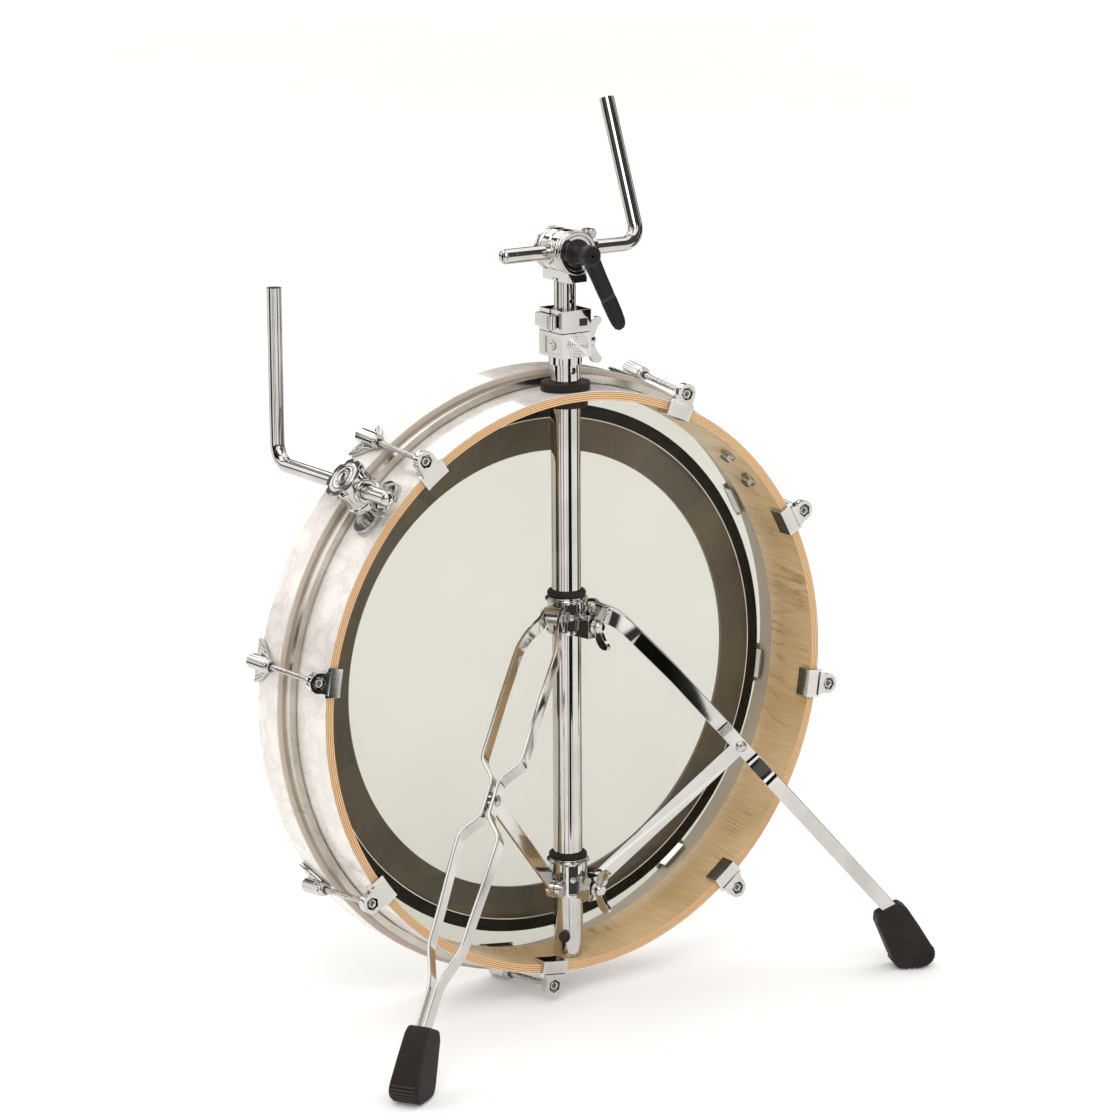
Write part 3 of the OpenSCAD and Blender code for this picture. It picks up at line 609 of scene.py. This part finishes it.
def make_hoop_claws():
    piece = Piece("claw_set_hoop", "chrome", "drum", "hoop_claws", bevel=0.45)
    wing = [(-5.0, 71.0), (-9.0, 75.5), (-13.6, 80.5), (-16.8, 84.5), (-19.0, 90.8),
            (-18.4, 92.4), (-15.0, 91.4), (-12.2, 90.2), (-9.4, 92.2), (-7.0, 91.6)]
    outline = wing + [(-x, y) for x, y in reversed(wing)]
    out = HOOP_WRAP_R + 0.4
    for angle in STATIONS:
        m = station(angle)
        flat = m @ Matrix(((0, 0, 1, 0), (0, 1, 0, 0), (-1, 0, 0, 0), (0, 0, 0, 1)))
        piece.prism(flat, outline, out, out + 2.0)
        for side in (-1, 1):      # raised flutes running back along the wings
            for a, b in (((5.6, 73.5), (9.6, 91.4)), ((8.6, 77.5), (14.2, 90.6)),
                         ((11.6, 81.0), (18.4, 91.6))):
                start = Vector((out + 1.7, a[1], side * a[0]))
                end = Vector((out + 1.7, b[1], side * b[0]))
                run = (end - start)
                aim = Matrix.Translation(start) @ run.to_track_quat("Z", "Y").to_matrix().to_4x4()
                piece.lathe(m @ aim, [(0, 0), (0.9, 0.6), (1.3, run.length * 0.5),
                                      (1.1, run.length), (0, run.length)], 10)
        piece.block(m, HOOP_IN_R - 3.5, out + 2.0, HOOP_Y1 + 0.2, HOOP_Y1 + 2.8, -17.5, 17.5)
        piece.block(m, HOOP_IN_R - 3.5, HOOP_IN_R - 1.1, HOOP_Y1 - 8, HOOP_Y1 + 2.8, -13, 13)
        # fluted barrel with a domed end and an open mouth for the rod
        rod = rod_line(angle)
        loops = []
        for z, r in ((66.4, 5.9), (67.2, 6.5), (90.2, 6.5), (91.6, 5.6)):
            loops.append([rod @ Vector(((r - 0.45 * (0.5 + 0.5 * math.cos(8 * a)))
                                        * math.cos(a),
                                        (r - 0.45 * (0.5 + 0.5 * math.cos(8 * a)))
                                        * math.sin(a), z))
                          for a in (math.tau * k / 64 for k in range(64))])
        piece.rings(loops)
        piece.lathe(rod, [(0, 91.4), (3.4, 91.4), (3.2, 92.6), (2.6, 94.2), (1.4, 95.0),
                          (0, 95.1)], 24)
        piece.lathe(rod, [(3.4, 62.8), (5.0, 62.8), (5.6, 63.8), (5.6, 66.6), (3.4, 66.6)],
                    32, hollow=True)
        # saddle between barrel and hoop
        piece.block(m, out + 1.0, out + 6.4, 72.5, 91.6, -3.8, 3.8)
    piece.done()
    # Dark rings in the barrels' mouths, round the rods, are painted shade in the gaps
    mouth_shades = Piece("claw_mouth_painted_shade", "black_steel", "drum", bevel=0.0)
    for angle in STATIONS:
        mouth_shades.lathe(rod_line(angle), [(2.6, 64.0), (3.8, 64.0), (3.8, 66.5), (2.6, 66.5)],
                     24, hollow=True)
    mouth_shades.done()


# ---------- Wing bolts ----------

def make_wing_bolt(name, body, replaced, m, shank, hub, span, tall):
    """The shank runs from the frame's zero back along -Z, the wings forward."""
    nose = 8.0         # height of the hub between the wings
    piece = Piece(name, "chrome", body, replaced, bevel=0.55, segments=3)
    piece.lathe(m, [(0, -shank), (2.6, -shank), (3.0, -shank + 0.6), (3.0, 1), (0, 1)], 24)
    piece.lathe(m, [(0, 0), (hub + 0.6, 0), (hub + 0.6, 1.4), (hub - 0.6, 2.4),
                    (hub - 0.6, nose - 1.8), (hub - 2.2, nose), (0, nose + 0.3)], 36)
    lobe = curved([(hub - 2.4, 0.8), (span * 0.62, tall * 0.16), (span - 1.6, tall * 0.42),
                   (span, tall * 0.76), (span - 1.8, tall), (span - 5.2, tall * 0.97),
                   (span * 0.52, tall * 0.72), (hub - 2.4, nose - 0.6)], 5)
    for side in (-1, 1):
        frame_w = m @ turn("X", 90)
        outline = [(side * x, y) for x, y in lobe]
        if side < 0:
            outline.reverse()
        piece.prism(frame_w, outline, -1.9, 1.9)
    piece.done()


# ---------- Legs ----------

def leg_height(u):
    """Height of a leg's middle line at a distance from the column."""
    for (a, va), (b, vb) in zip(LEG_LINE, LEG_LINE[1:]):
        if u <= b or (b, vb) == LEG_LINE[-1]:
            return va + (vb - va) * (u - a) / (b - a)


def leg_path(sign):
    """Points of a leg bar's middle and the direction of its width."""
    points, sides = [], []
    first, last = LEG_LINE[0][0], LEG_LINE[-1][0] - 2.0
    steps = 150
    raw = [first + (last - first) * k / steps for k in range(steps + 1)]
    reach = 5.0
    for u in raw:
        around = [min(max(u + d, first - 4), last + 4) for d in (-reach, -reach / 2, 0,
                                                              reach / 2, reach)]
        z = sum(leg_height(v) for v in around) / len(around)
        points.append(Vector((u, sign * blend_table(BAR_SPREAD, u), z)))
    for i in range(len(points)):
        ahead = points[min(i + 1, steps)] - points[max(i - 1, 0)]
        sides.append(Vector((-ahead.z, 0, ahead.x)).normalized())
    return points, sides


def make_leg(side, name):
    body = name + "_leg"
    m = leg_plane(side)
    bars = Piece(name + "_bar_pair", "chrome", body, name + "_leg_bars", bevel=0.5)
    for sign in (-1, 1):
        points, sides = leg_path(sign)
        bars.strap(m, points, sides, BAR_W, BAR_T)
        eye = m @ move(LEG_PIVOT[0], sign * BAR_SPREAD[0][1], LEG_PIVOT[1]) @ turn("X", 90)
        bars.lathe(eye, [(3.1, -BAR_T / 2), (BAR_W / 2 + 0.4, -BAR_T / 2),
                         (BAR_W / 2 + 0.4, BAR_T / 2), (3.1, BAR_T / 2)], 40, hollow=True)
    bars.done()
    pin = Piece(name + "_knee_rivet", "steel", body, name + "_knee_pin", bevel=0.0)
    knee = m @ move(KNEE[0], 0, KNEE[1]) @ turn("X", 90)
    pin.lathe(knee, [(0, -7.0), (2.0, -6.8), (4.0, -6.1), (5.0, -5.0), (2.98, -4.9),
                     (2.98, 4.9), (5.0, 5.0), (4.0, 6.1), (2.0, 6.8), (0, 7.0)], 36)
    pin.done()
    make_boot(side, name)
    strut = Piece(name + "_strut_bar", "chrome", name + "_strut", name + "_strut", bevel=0.45)
    knee_v, foot_v = Vector((KNEE[0], 0, KNEE[1])), Vector((STRUT_PIVOT[0], 0, STRUT_PIVOT[1]))
    along = (foot_v - knee_v).normalized()
    across = Vector((-along.z, 0, along.x))
    outline = []
    for centre, way, r in ((knee_v, -along, 6.8), (foot_v, along, 6.8)):
        for k in range(-8, 9):
            a = math.radians(k * 11.25)
            p = centre + (way * math.cos(a) + across * math.sin(a)
                          * (1 if way == along else -1)) * r
            outline.append((p.x, p.z))
    eyes = [circle(3.1, 32, (knee_v.x, knee_v.z)), circle(4.9, 32, (foot_v.x, foot_v.z))]
    strut.plate(m @ turn("X", 90), [outline] + eyes, -1.4, 1.4)
    strut.done()


def make_boot(side, name):
    """Rubber block on a leg's end that grows wider to its toothed round end."""
    boot = Piece(name + "_foot", "rubber", name + "_leg", name + "_boot", bevel=2.4,
                 segments=4, angle=32)
    plane = leg_plane(side)
    corners = [(277, -228), (297.5, -218.5), (303.5, -222.5), (315, -240), (326.4, -259)]
    sole = curved([(326.4, -259), (328.3, -265.5), (326.6, -271.6), (321.2, -275.9),
                   (313.5, -277.6), (300.4, -277.6), (294.2, -274.6), (290.4, -268.5)],
                  5, False)
    sole = [(u, max(z, FLOOR_Z + 1.0)) for u, z in sole]
    outline = corners + sole[1:] + [(276.5, -236)]
    drop = math.radians(BOOT_DROP)

    def half(u, z):
        along = (u - BOOT_TOP[0]) * math.cos(drop) + (BOOT_TOP[1] - z) * math.sin(drop)
        return 9.8 + 3.7 * along / 55

    boot.rings([[plane @ Vector((u, sign * half(u, z), z)) for u, z in outline]
                for sign in (-1, 1)])
    boot.done()
    tread = Piece(name + "_tread", "rubber", name + "_leg", bevel=0.3, segments=2)
    for k in range(2, len(sole) - 2, 2):
        (u0, z0), (u, z), (u1, z1) = sole[k - 1:k + 2]
        way = math.degrees(math.atan2(z1 - z0, u1 - u0))
        tooth = plane @ move(u, 0, z) @ turn("Y", -way)
        tread.block(tooth, -1.0, 1.0, -11.2, 11.2, -2.0, 0.95)
    tread.done()


# ---------- Upper clamp ----------

def make_upper_clamp():
    m = UPPER_CLAMP
    head = Piece("post_fork", "chrome", "post", "post_head", bevel=0.5)
    head.lathe(m @ facing_y(), [(0, 12), (17.6, 12), (19, 13.2), (19, 14.4), (18.2, 15.0),
                                (19, 15.8), (19, 18.4), (17.4, 20), (9, 20.4), (0, 20.4)], 64)
    head.lathe(m @ facing_y(), [(0, -12), (18.2, -12), (19, -12.8), (19, -15.2),
                                (18.0, -15.9), (18.0, -16.7), (19, -17.4), (19, -19.0),
                                (18.2, -20), (15.4, -20), (14.8, -19.2), (0, -19.2)], 64)
    head.block(m, -9.5, 9.5, -19.6, 19.6, -25, -15.5)
    head.lathe(m, [(0, -39), (7.4, -39), (7.4, -25.4), (10.4, -24.6), (10.6, -22), (0, -22)], 40)
    head.done()
    tilter = Piece("tilt_barrel", "chrome", "tilter", "tilt_drum", bevel=0.35)
    tilter.lathe(m @ facing_y(), [(0, -11.4), (17.4, -11.4), (18.4, -10.4), (18.4, -1.6),
                                  (17.2, -0.9), (17.2, 0.9), (18.4, 1.6), (18.4, 10.4),
                                  (17.4, 11.4), (0, 11.4)], 64)
    tilter.lathe(m @ facing_x(), [(0, -19.4), (9.6, -19.4), (10.2, -18.6), (10.2, -12),
                                  (0, -12)], 40)
    tilter.done()
    washer = Piece("lever_ring", "black_plastic", "lever", "lever_washer", bevel=0.0)
    washer.lathe(m @ facing_y(), [(5.1, -19.2), (12.0, -19.2), (12.0, -19.9), (11.2, -20.3),
                                  (5.1, -20.4)], 48, hollow=True)
    washer.done()
    lever = Piece("lever_grip", "lever_black", "lever", "lever_handle", bevel=0.4, angle=38)
    lever.lathe(m @ facing_y(), [(5.1, -20.2), (10.8, -20.2), (10.8, -22.0), (9.4, -24),
                                 (8.6, -28), (8.5, -33), (9.0, -34), (9.0, -40.8), (8.2, -41.9),
                                 (7.0, -42.3), (4.3, -42.3), (3.8, -41.6), (3.8, -36.6),
                                 (5.1, -36.4)], 56,
                hollow=True)
    arm = m @ turn("Y", -LEVER_DROP)
    stations = [(3, 7.6, 4.4), (12, 7.3, 4.3), (24, 7.0, 4.1), (38, 7.0, 4.0),
                (39.4, 6.7, 3.7), (42.6, 6.7, 3.7), (44, 7.1, 4.0), (58, 6.9, 3.9),
                (66, 6.3, 3.6), (70, 5.2, 3.1), (72.4, 3.2, 2.2), (73.2, 0.6, 0.6)]
    loops = []
    for s, w, t in stations:
        loop = []
        for k in range(28):
            a = math.tau * k / 28
            c, d = math.cos(a), math.sin(a)
            x = w * math.copysign(abs(c) ** 0.62, c)
            y = t * math.copysign(abs(d) ** 0.72, d)
            loop.append(arm @ Vector((x, -37.2 + y + 0.02 * s, -s)))
        loops.append(loop)
    lever.rings(loops)
    lever.done()
    band = Piece("lever_band", "rubber", "lever", bevel=0.0, angle=60)
    loops = []
    for s in (39.5, 42.5):
        loops.append([arm @ Vector((6.85 * math.copysign(abs(math.cos(a)) ** 0.62, math.cos(a)),
                                    -37.2 + 0.02 * s + 3.84 * math.copysign(
                                        abs(math.sin(a)) ** 0.72, math.sin(a)), -s))
                      for a in (math.tau * k / 28 for k in range(28))])
    band.rings(loops)
    band.done()
    screw = Piece("lever_cap_screw", "black_steel", "lever", "lever_screw", bevel=0.25)
    screw.plate(m @ turn("X", 90), [circle(3.5, 32), circle(1.8, 6)], 39.4, 41.8)
    screw.lathe(m @ facing_y(), [(0, -38.2), (3.5, -38.2), (3.5, -39.6), (0, -39.6)], 32)
    screw.done()
    # A dark disc on the top arm's end is painted shade standing in for a hole
    hole = Piece("arm_end_hole_painted_shade", "black_steel", "top_arm", bevel=0.0)
    hole.lathe(m @ turn("X", -TOP_LEAN) @ move(-TOP_STUB + 9) @ facing_y(),
               [(0, -6.42), (1.5, -6.38), (1.5, -5.6), (0, -5.6)], 20)
    hole.done()


# ---------- Column clamp details ----------

def make_clamp_details():
    m = COLUMN
    rings = Piece("clamp_front_rings", "chrome", "drum", bevel=0.0, angle=60)
    face = m @ move(1.0, -17.4, 294.6) @ turn("X", 90)
    for r in (3.4, 5.6, 7.8, 10.0):
        rings.lathe(face, [(r - 0.55, -0.2), (r - 0.4, 0.35), (r, 0.6), (r + 0.4, 0.35),
                           (r + 0.55, -0.2)], 56, hollow=True)
    rings.done()
    boss = Piece("clamp_side_boss", "chrome", "drum", bevel=0.3)
    left = m @ move(-14.2, -2.0, CLAMP_WING_Z) @ turn("Y", -90)
    boss.prism(left, circle(4.6, 6), -0.2, 1.4)
    boss.lathe(left, [(0, 0), (2.6, 0), (2.6, 2.0), (0, 2.3)], 24)
    boss.done()
    pad = Piece("clamp_pocket_pad", "black_plastic", "drum", bevel=0.3)
    pad.block(m, 3.2, 10.8, -17.3, -16.2, 311.2, 316.8)
    pad.done()


def make_collar_details():
    for name, z, high, _ in COLLARS:
        m = COLUMN @ move(z=z)
        body = name + "_collar"
        trim = Piece(name + "_collar_trim", "chrome", body, bevel=0.35)
        trim.lathe(m, [(16.3, high - 3.6), (18.4, high - 3.4), (18.9, high - 2.4),
                       (18.4, high - 1.2), (16.3, high - 1.0)], 64, hollow=True)
        trim.lathe(m, [(16.3, -high + 1.0), (17.6, -high + 1.2), (17.6, -high + 3.0),
                       (16.3, -high + 3.4)], 64, hollow=True)
        front = m @ turn("Z", -90 + BASE_TURN - 24)
        for y in (-5.4, 5.4):
            trim.block(front, 14, 18.6, y - 1.3, y + 1.3, -high + 3, high - 4)
        trim.done()
        panel = Piece(name + "_collar_panel", "black_plastic", body, bevel=0.2)
        panel.block(front, 15.4, 16.9, -4.2, 4.2, -high + 4, high - 5)
        panel.done()
        rib = Piece(name + "_collar_screw", "steel", body, bevel=0.2)
        rib.lathe(front @ facing_x(), [(0, 16.6), (2.8, 16.6), (2.8, 17.8), (1.4, 18.3),
                                       (0, 18.3)], 24)
        rib.done()


# ---------- Side bracket ----------

def make_side_bracket():
    m = station(SIDE_ANGLE) @ move(SHELL_R, COL_Y / MM, 0)
    cap = Piece("side_knob", "chrome", "drum", "side_cap", bevel=0.6)
    outline = []
    for k in range(96):
        a = math.tau * k / 96
        dip = max(0.0, math.cos(8 * a)) ** 1.5
        r = 18.9 - 2.7 * dip
        outline.append((r * math.cos(a), r * math.sin(a)))
    cap.prism(m @ facing_x(), outline, 41.8, 47.0)
    cap.lathe(m @ facing_x(), [(0, 46.8), (14.6, 46.8), (14.4, 47.6), (12.6, 48.0),
                               (11.8, 47.5), (10.2, 47.5), (9.6, 48.0), (7.0, 48.2),
                               (6.4, 47.6), (4.8, 47.6), (4.2, 48.2), (0, 48.4)], 64)
    cap.done()
    body = Piece("side_clamp_body", "chrome", "drum", "side_clamp", bevel=0.6)
    body.lathe(m @ facing_x(), [(0, 15.2), (15.8, 15.2), (17, 16.4), (17, 21.4), (15.6, 22.4),
                                (15.6, 23.6), (17, 24.6), (17, 40.4), (15.8, 41.8),
                                (0, 41.8)], 64)
    body.lathe(m @ move(x=SIDE_R - SHELL_R) @ facing_y(), [(6.5, -19.4), (9.8, -19.4),
               (10.4, -18.4), (10.4, 18.4), (9.8, 19.4), (6.5, 19.4)], 48, hollow=True)
    lug = m @ move(x=SIDE_BOLT_X) @ turn("X", 90)
    body.prism(lug, [(-4.2, -6.5), (5.6, -6.5), (5.6, 6.5), (-4.2, 6.5)], 10.2, 20.4)
    body.done()
    make_wing_bolt("side_handle", "side_wing", "side_wing_bolt",
                   m @ move(SIDE_BOLT_X, -22, 0) @ turn("X", 90) @ turn("Z", 90),
                   9, 4.6, 11, 13)


def make_arm_ends():
    """Domed front ends of the two arm rods."""
    dome = [(6.3, -0.6), (6.35, 0), (6.1, 1.4), (5.2, 2.8), (3.4, 3.9), (1.4, 4.4), (0, 4.5)]
    side_end = Piece("side_arm_dome", "chrome", "side_arm", bevel=0.0, angle=50)
    side_end.lathe(station(SIDE_ANGLE) @ move(SIDE_R, -SIDE_STUB, 0) @ turn("X", 90),
                   [(0, -0.6)] + dome, 48)
    side_end.done()
    top_end = Piece("top_arm_dome", "chrome", "top_arm", bevel=0.0, angle=50)
    top_end.lathe(UPPER_CLAMP @ move(-TOP_STUB) @ turn("Y", -90),
                  [(0, -0.6)] + dome, 48)
    top_end.done()


def make_painted_edge_highlight():
    """Narrow pale ring between the damping ring and its black holder: a painted highlight on their
    edge.
    """
    line = Piece("damping_edge_painted_highlight", "pearl", "drum", bevel=0.0)
    line.lathe(DRUM @ facing_y(), [(222.2, 63.1), (222.9, 63.1), (222.9, 63.42),
                                   (222.2, 63.42)], 240, hollow=True)
    line.done()


def make_seam():
    seam = Piece("flesh_hoop_seam", "black_steel", "drum", bevel=0.0)
    m = station(198.5)
    seam.block(m, 261.2, 262.06, 46.3, 57.7, -0.3, 0.3)
    seam.done()


# ---------- Floor, light and camera ----------

def make_floor():
    bm = bmesh.new()
    bmesh.ops.create_grid(bm, x_segments=24, y_segments=24, size=14)
    mesh = bpy.data.meshes.new("floor")
    bm.to_mesh(mesh)
    bm.free()
    floor = bpy.data.objects.new("floor", mesh)
    bpy.context.scene.collection.objects.link(floor)
    floor.location = (0, 0, -0.0004)
    s = Shader("floor_white")
    s.colour(s.ramp(s.noise(s.coords, 0.6, 2.0), [(0.3, 0.90), (0.7, 0.93)]))
    s.rough(s.noise(s.coords, 3.0, 2.0), 0.75, 0.85)
    s.set(Emission_Color=(1, 1, 1, 1), Emission_Strength=0.13)
    mesh.materials.append(s.mat)


def make_world():
    world = bpy.data.worlds.new("studio")
    bpy.context.scene.world = world
    world.use_nodes = True
    tree = world.node_tree
    tree.nodes.clear()
    new, link = tree.nodes.new, tree.links.new
    coords = new("ShaderNodeTexCoord").outputs["Generated"]
    xyz = new("ShaderNodeSeparateXYZ")
    link(coords, xyz.inputs[0])
    # Bright and dark bands by height, which the chrome shows as streaks
    height = new("ShaderNodeValToRGB")
    link(xyz.outputs[2], height.inputs["Fac"])
    bands = [(0.0, 0.06), (0.12, 0.05), (0.16, 1.5), (0.44, 1.7), (0.48, 0.10),
             (0.56, 0.10), (0.62, 1.7), (0.95, 1.9)]
    set_stops(height, [(place, (v, v * 0.985, v * 0.96)) for place, v in bands])
    # Three darker sectors round the horizon
    angle = new("ShaderNodeMath")
    angle.operation = "ARCTAN2"
    link(xyz.outputs[0], angle.inputs[0])
    link(xyz.outputs[1], angle.inputs[1])
    wave = new("ShaderNodeMath")
    wave.operation = "MULTIPLY_ADD"
    link(angle.outputs[0], wave.inputs[0])
    wave.inputs[1].default_value = 3.0
    wave.inputs[2].default_value = 0.6
    sine = new("ShaderNodeMath")
    sine.operation = "SINE"
    link(wave.outputs[0], sine.inputs[0])
    side = new("ShaderNodeValToRGB")
    link(sine.outputs[0], side.inputs["Fac"])
    set_stops(side, [(0.0, 1.15), (0.50, 1.1), (0.62, (0.10, 0.095, 0.09))])
    product = new("ShaderNodeMix")
    product.data_type = "RGBA"
    product.blend_type = "MULTIPLY"
    product.inputs["Factor"].default_value = 1.0
    link(height.outputs["Color"], product.inputs[6])
    link(side.outputs["Color"], product.inputs[7])
    studio = new("ShaderNodeBackground")
    studio.inputs["Strength"].default_value = 0.8
    link(product.outputs[2], studio.inputs["Color"])
    # The camera itself sees plain white
    plain = new("ShaderNodeBackground")
    plain.inputs["Color"].default_value = (1, 1, 1, 1)
    plain.inputs["Strength"].default_value = 1.05
    path = new("ShaderNodeLightPath")
    either = new("ShaderNodeMixShader")
    link(path.outputs["Is Camera Ray"], either.inputs[0])
    link(studio.outputs[0], either.inputs[1])
    link(plain.outputs[0], either.inputs[2])
    out = new("ShaderNodeOutputWorld")
    link(either.outputs[0], out.inputs["Surface"])


def make_cards():
    """Dark cards that only reflections see, so that the chrome has contrast."""
    s = Shader("card_black")
    s.colour(s.ramp(s.noise(s.coords, 2.0), [(0.3, 0.004), (0.7, 0.012)]))
    s.set(Roughness=0.9, Specular_IOR_Level=0.0)
    for k, (angle, distance, width, height, low) in enumerate(CARDS):
        bm = bmesh.new()
        bmesh.ops.create_grid(bm, x_segments=2, y_segments=2, size=0.5)
        mesh = bpy.data.meshes.new("card_%d" % k)
        bm.to_mesh(mesh)
        bm.free()
        mesh.materials.append(s.mat)
        card = bpy.data.objects.new("card_%d" % k, mesh)
        bpy.context.scene.collection.objects.link(card)
        a = math.radians(angle)
        card.location = (distance * math.sin(a), -distance * math.cos(a), low + height / 2)
        card.rotation_euler = (math.pi / 2, 0, a)
        card.scale = (width, height, 1)
        card.visible_camera = card.visible_diffuse = card.visible_shadow = False
        card.visible_transmission = card.visible_volume_scatter = False


# Each card: direction seen from the drum in degrees, and in metres its distance,
# width, height and lower edge
CARDS = ((-112, 0.95, 0.34, 1.2, 0.0), (-76, 0.95, 0.10, 1.2, 0.0), (-52, 1.30, 0.12, 1.3, 0.0),
         (-11.9, 0.46, 0.09, 1.2, 0.0), (-2.2, 0.45, 0.065, 1.1, 0.12), (70, 0.95, 0.42, 1.2, 0.0),
         (104, 1.10, 0.30, 1.3, 0.0), (150, 1.20, 0.26, 1.3, 0.0), (-170, 1.5, 0.2, 1.4, 0.0))


def make_light(name, place, target, size, power, colour=(1, 1, 1)):
    data = bpy.data.lights.new(name, "AREA")
    data.shape = "RECTANGLE"
    data.size, data.size_y = size
    data.energy = power
    data.color = colour
    lamp = bpy.data.objects.new(name, data)
    bpy.context.scene.collection.objects.link(lamp)
    lamp.location = place
    lamp.rotation_mode = "QUATERNION"
    lamp.rotation_quaternion = (Vector(target) - Vector(place)).to_track_quat("-Z", "Y")


CAMERA_ANGLES = (-34.05, 13.40, -0.26)     # azimuth, elevation and roll
CAMERA_OFFSET = (3.67635, 0.00356, 0.07809)   # back, right and up from the drum
CAMERA_LENS, CAMERA_SENSOR = 138.66, 36.0      # in millimetres
CAMERA_SHIFT = (-0.0252, 0.0333)


def make_camera():
    azimuth, elevation, roll = map(math.radians, CAMERA_ANGLES)
    back = Vector((math.sin(azimuth) * math.cos(elevation),
                   -math.cos(azimuth) * math.cos(elevation), math.sin(elevation)))
    right = (-back).cross(Vector((0, 0, 1))).normalized()
    up = right.cross(-back)
    away, aside, above = CAMERA_OFFSET
    place = ORIGIN + back * away + right * aside + up * above
    right_r = right * math.cos(roll) + up * math.sin(roll)
    up_r = up * math.cos(roll) - right * math.sin(roll)
    data = bpy.data.cameras.new("camera")
    data.sensor_width = CAMERA_SENSOR
    data.lens = CAMERA_LENS
    data.shift_x, data.shift_y = CAMERA_SHIFT
    data.clip_start, data.clip_end = 0.1, 60.0
    camera = bpy.data.objects.new("camera", data)
    bpy.context.scene.collection.objects.link(camera)
    facing = Matrix((right_r, up_r, back)).transposed().to_4x4()
    camera.matrix_world = Matrix.Translation(place) @ facing
    bpy.context.scene.camera = camera


make_shell_claws()
make_rods()
make_hoop_claws()
for name, _, _, wing_z in COLLARS:
    make_wing_bolt(name + "_thumb_wing", name + "_wing", name + "_wing_bolt",
                   COLUMN @ move(z=wing_z)
                   @ turn("Z", -90 + BASE_TURN + WING_ANGLE) @ facing_x(33.5),
                   20.2, 6, 19, 16)
make_wing_bolt("clamp_thumb_wing", "clamp_wing", "clamp_wing_bolt",
               COLUMN @ move(21, 0, CLAMP_WING_Z) @ facing_x(), 5.8, 6, 20, 15)
make_leg(-1, "left")
make_leg(1, "right")
make_upper_clamp()
make_clamp_details()
make_collar_details()
make_side_bracket()
make_arm_ends()
make_seam()
make_painted_edge_highlight()

SOFT_EDGES = {
    "clamp_body": 0.9, "clamp_cap": 0.9, "clamp_gate": 0.6, "clamp_hinge_pin": 0.4,
    "tom_post": 0.4, "arm_lock": 0.7, "arm_lock_screw": 0.5, "top_arm": 2.4,
    "side_flange": 0.8, "side_screws": 0.5, "side_arm": 2.4, "spare_bolts": 0.4,
    "leg_collar": 0.7, "leg_collar_pins": 0.7, "leg_collar_bush": 0.5,
    "strut_collar": 0.7, "strut_collar_pins": 0.7, "strut_collar_bush": 0.5,
    "column_tube": 0.4, "column_gasket_outer": 0.8, "column_gasket_inner": 0.8,
    "column_screws": 0.5, "damping_retainer": 0.3, "batter_hoop": 0.6,
}
for name, width in SOFT_EDGES.items():
    soften(name, width, 4 if width > 1 else 2)

make_floor()
make_world()
make_cards()
make_light("key", (-1.6, -2.2, 2.6), (0, 0, 0.35), (1.6, 1.2), 22)
make_light("fill", (2.6, -1.2, 1.5), (0, 0, 0.3), (1.2, 1.8), 9)
make_light("back", (0.4, 2.6, 2.2), (0, 0, 0.3), (2.0, 1.2), 14)
make_camera()

scene = bpy.context.scene
scene.view_settings.view_transform = "Standard"
scene.view_settings.look = "None"
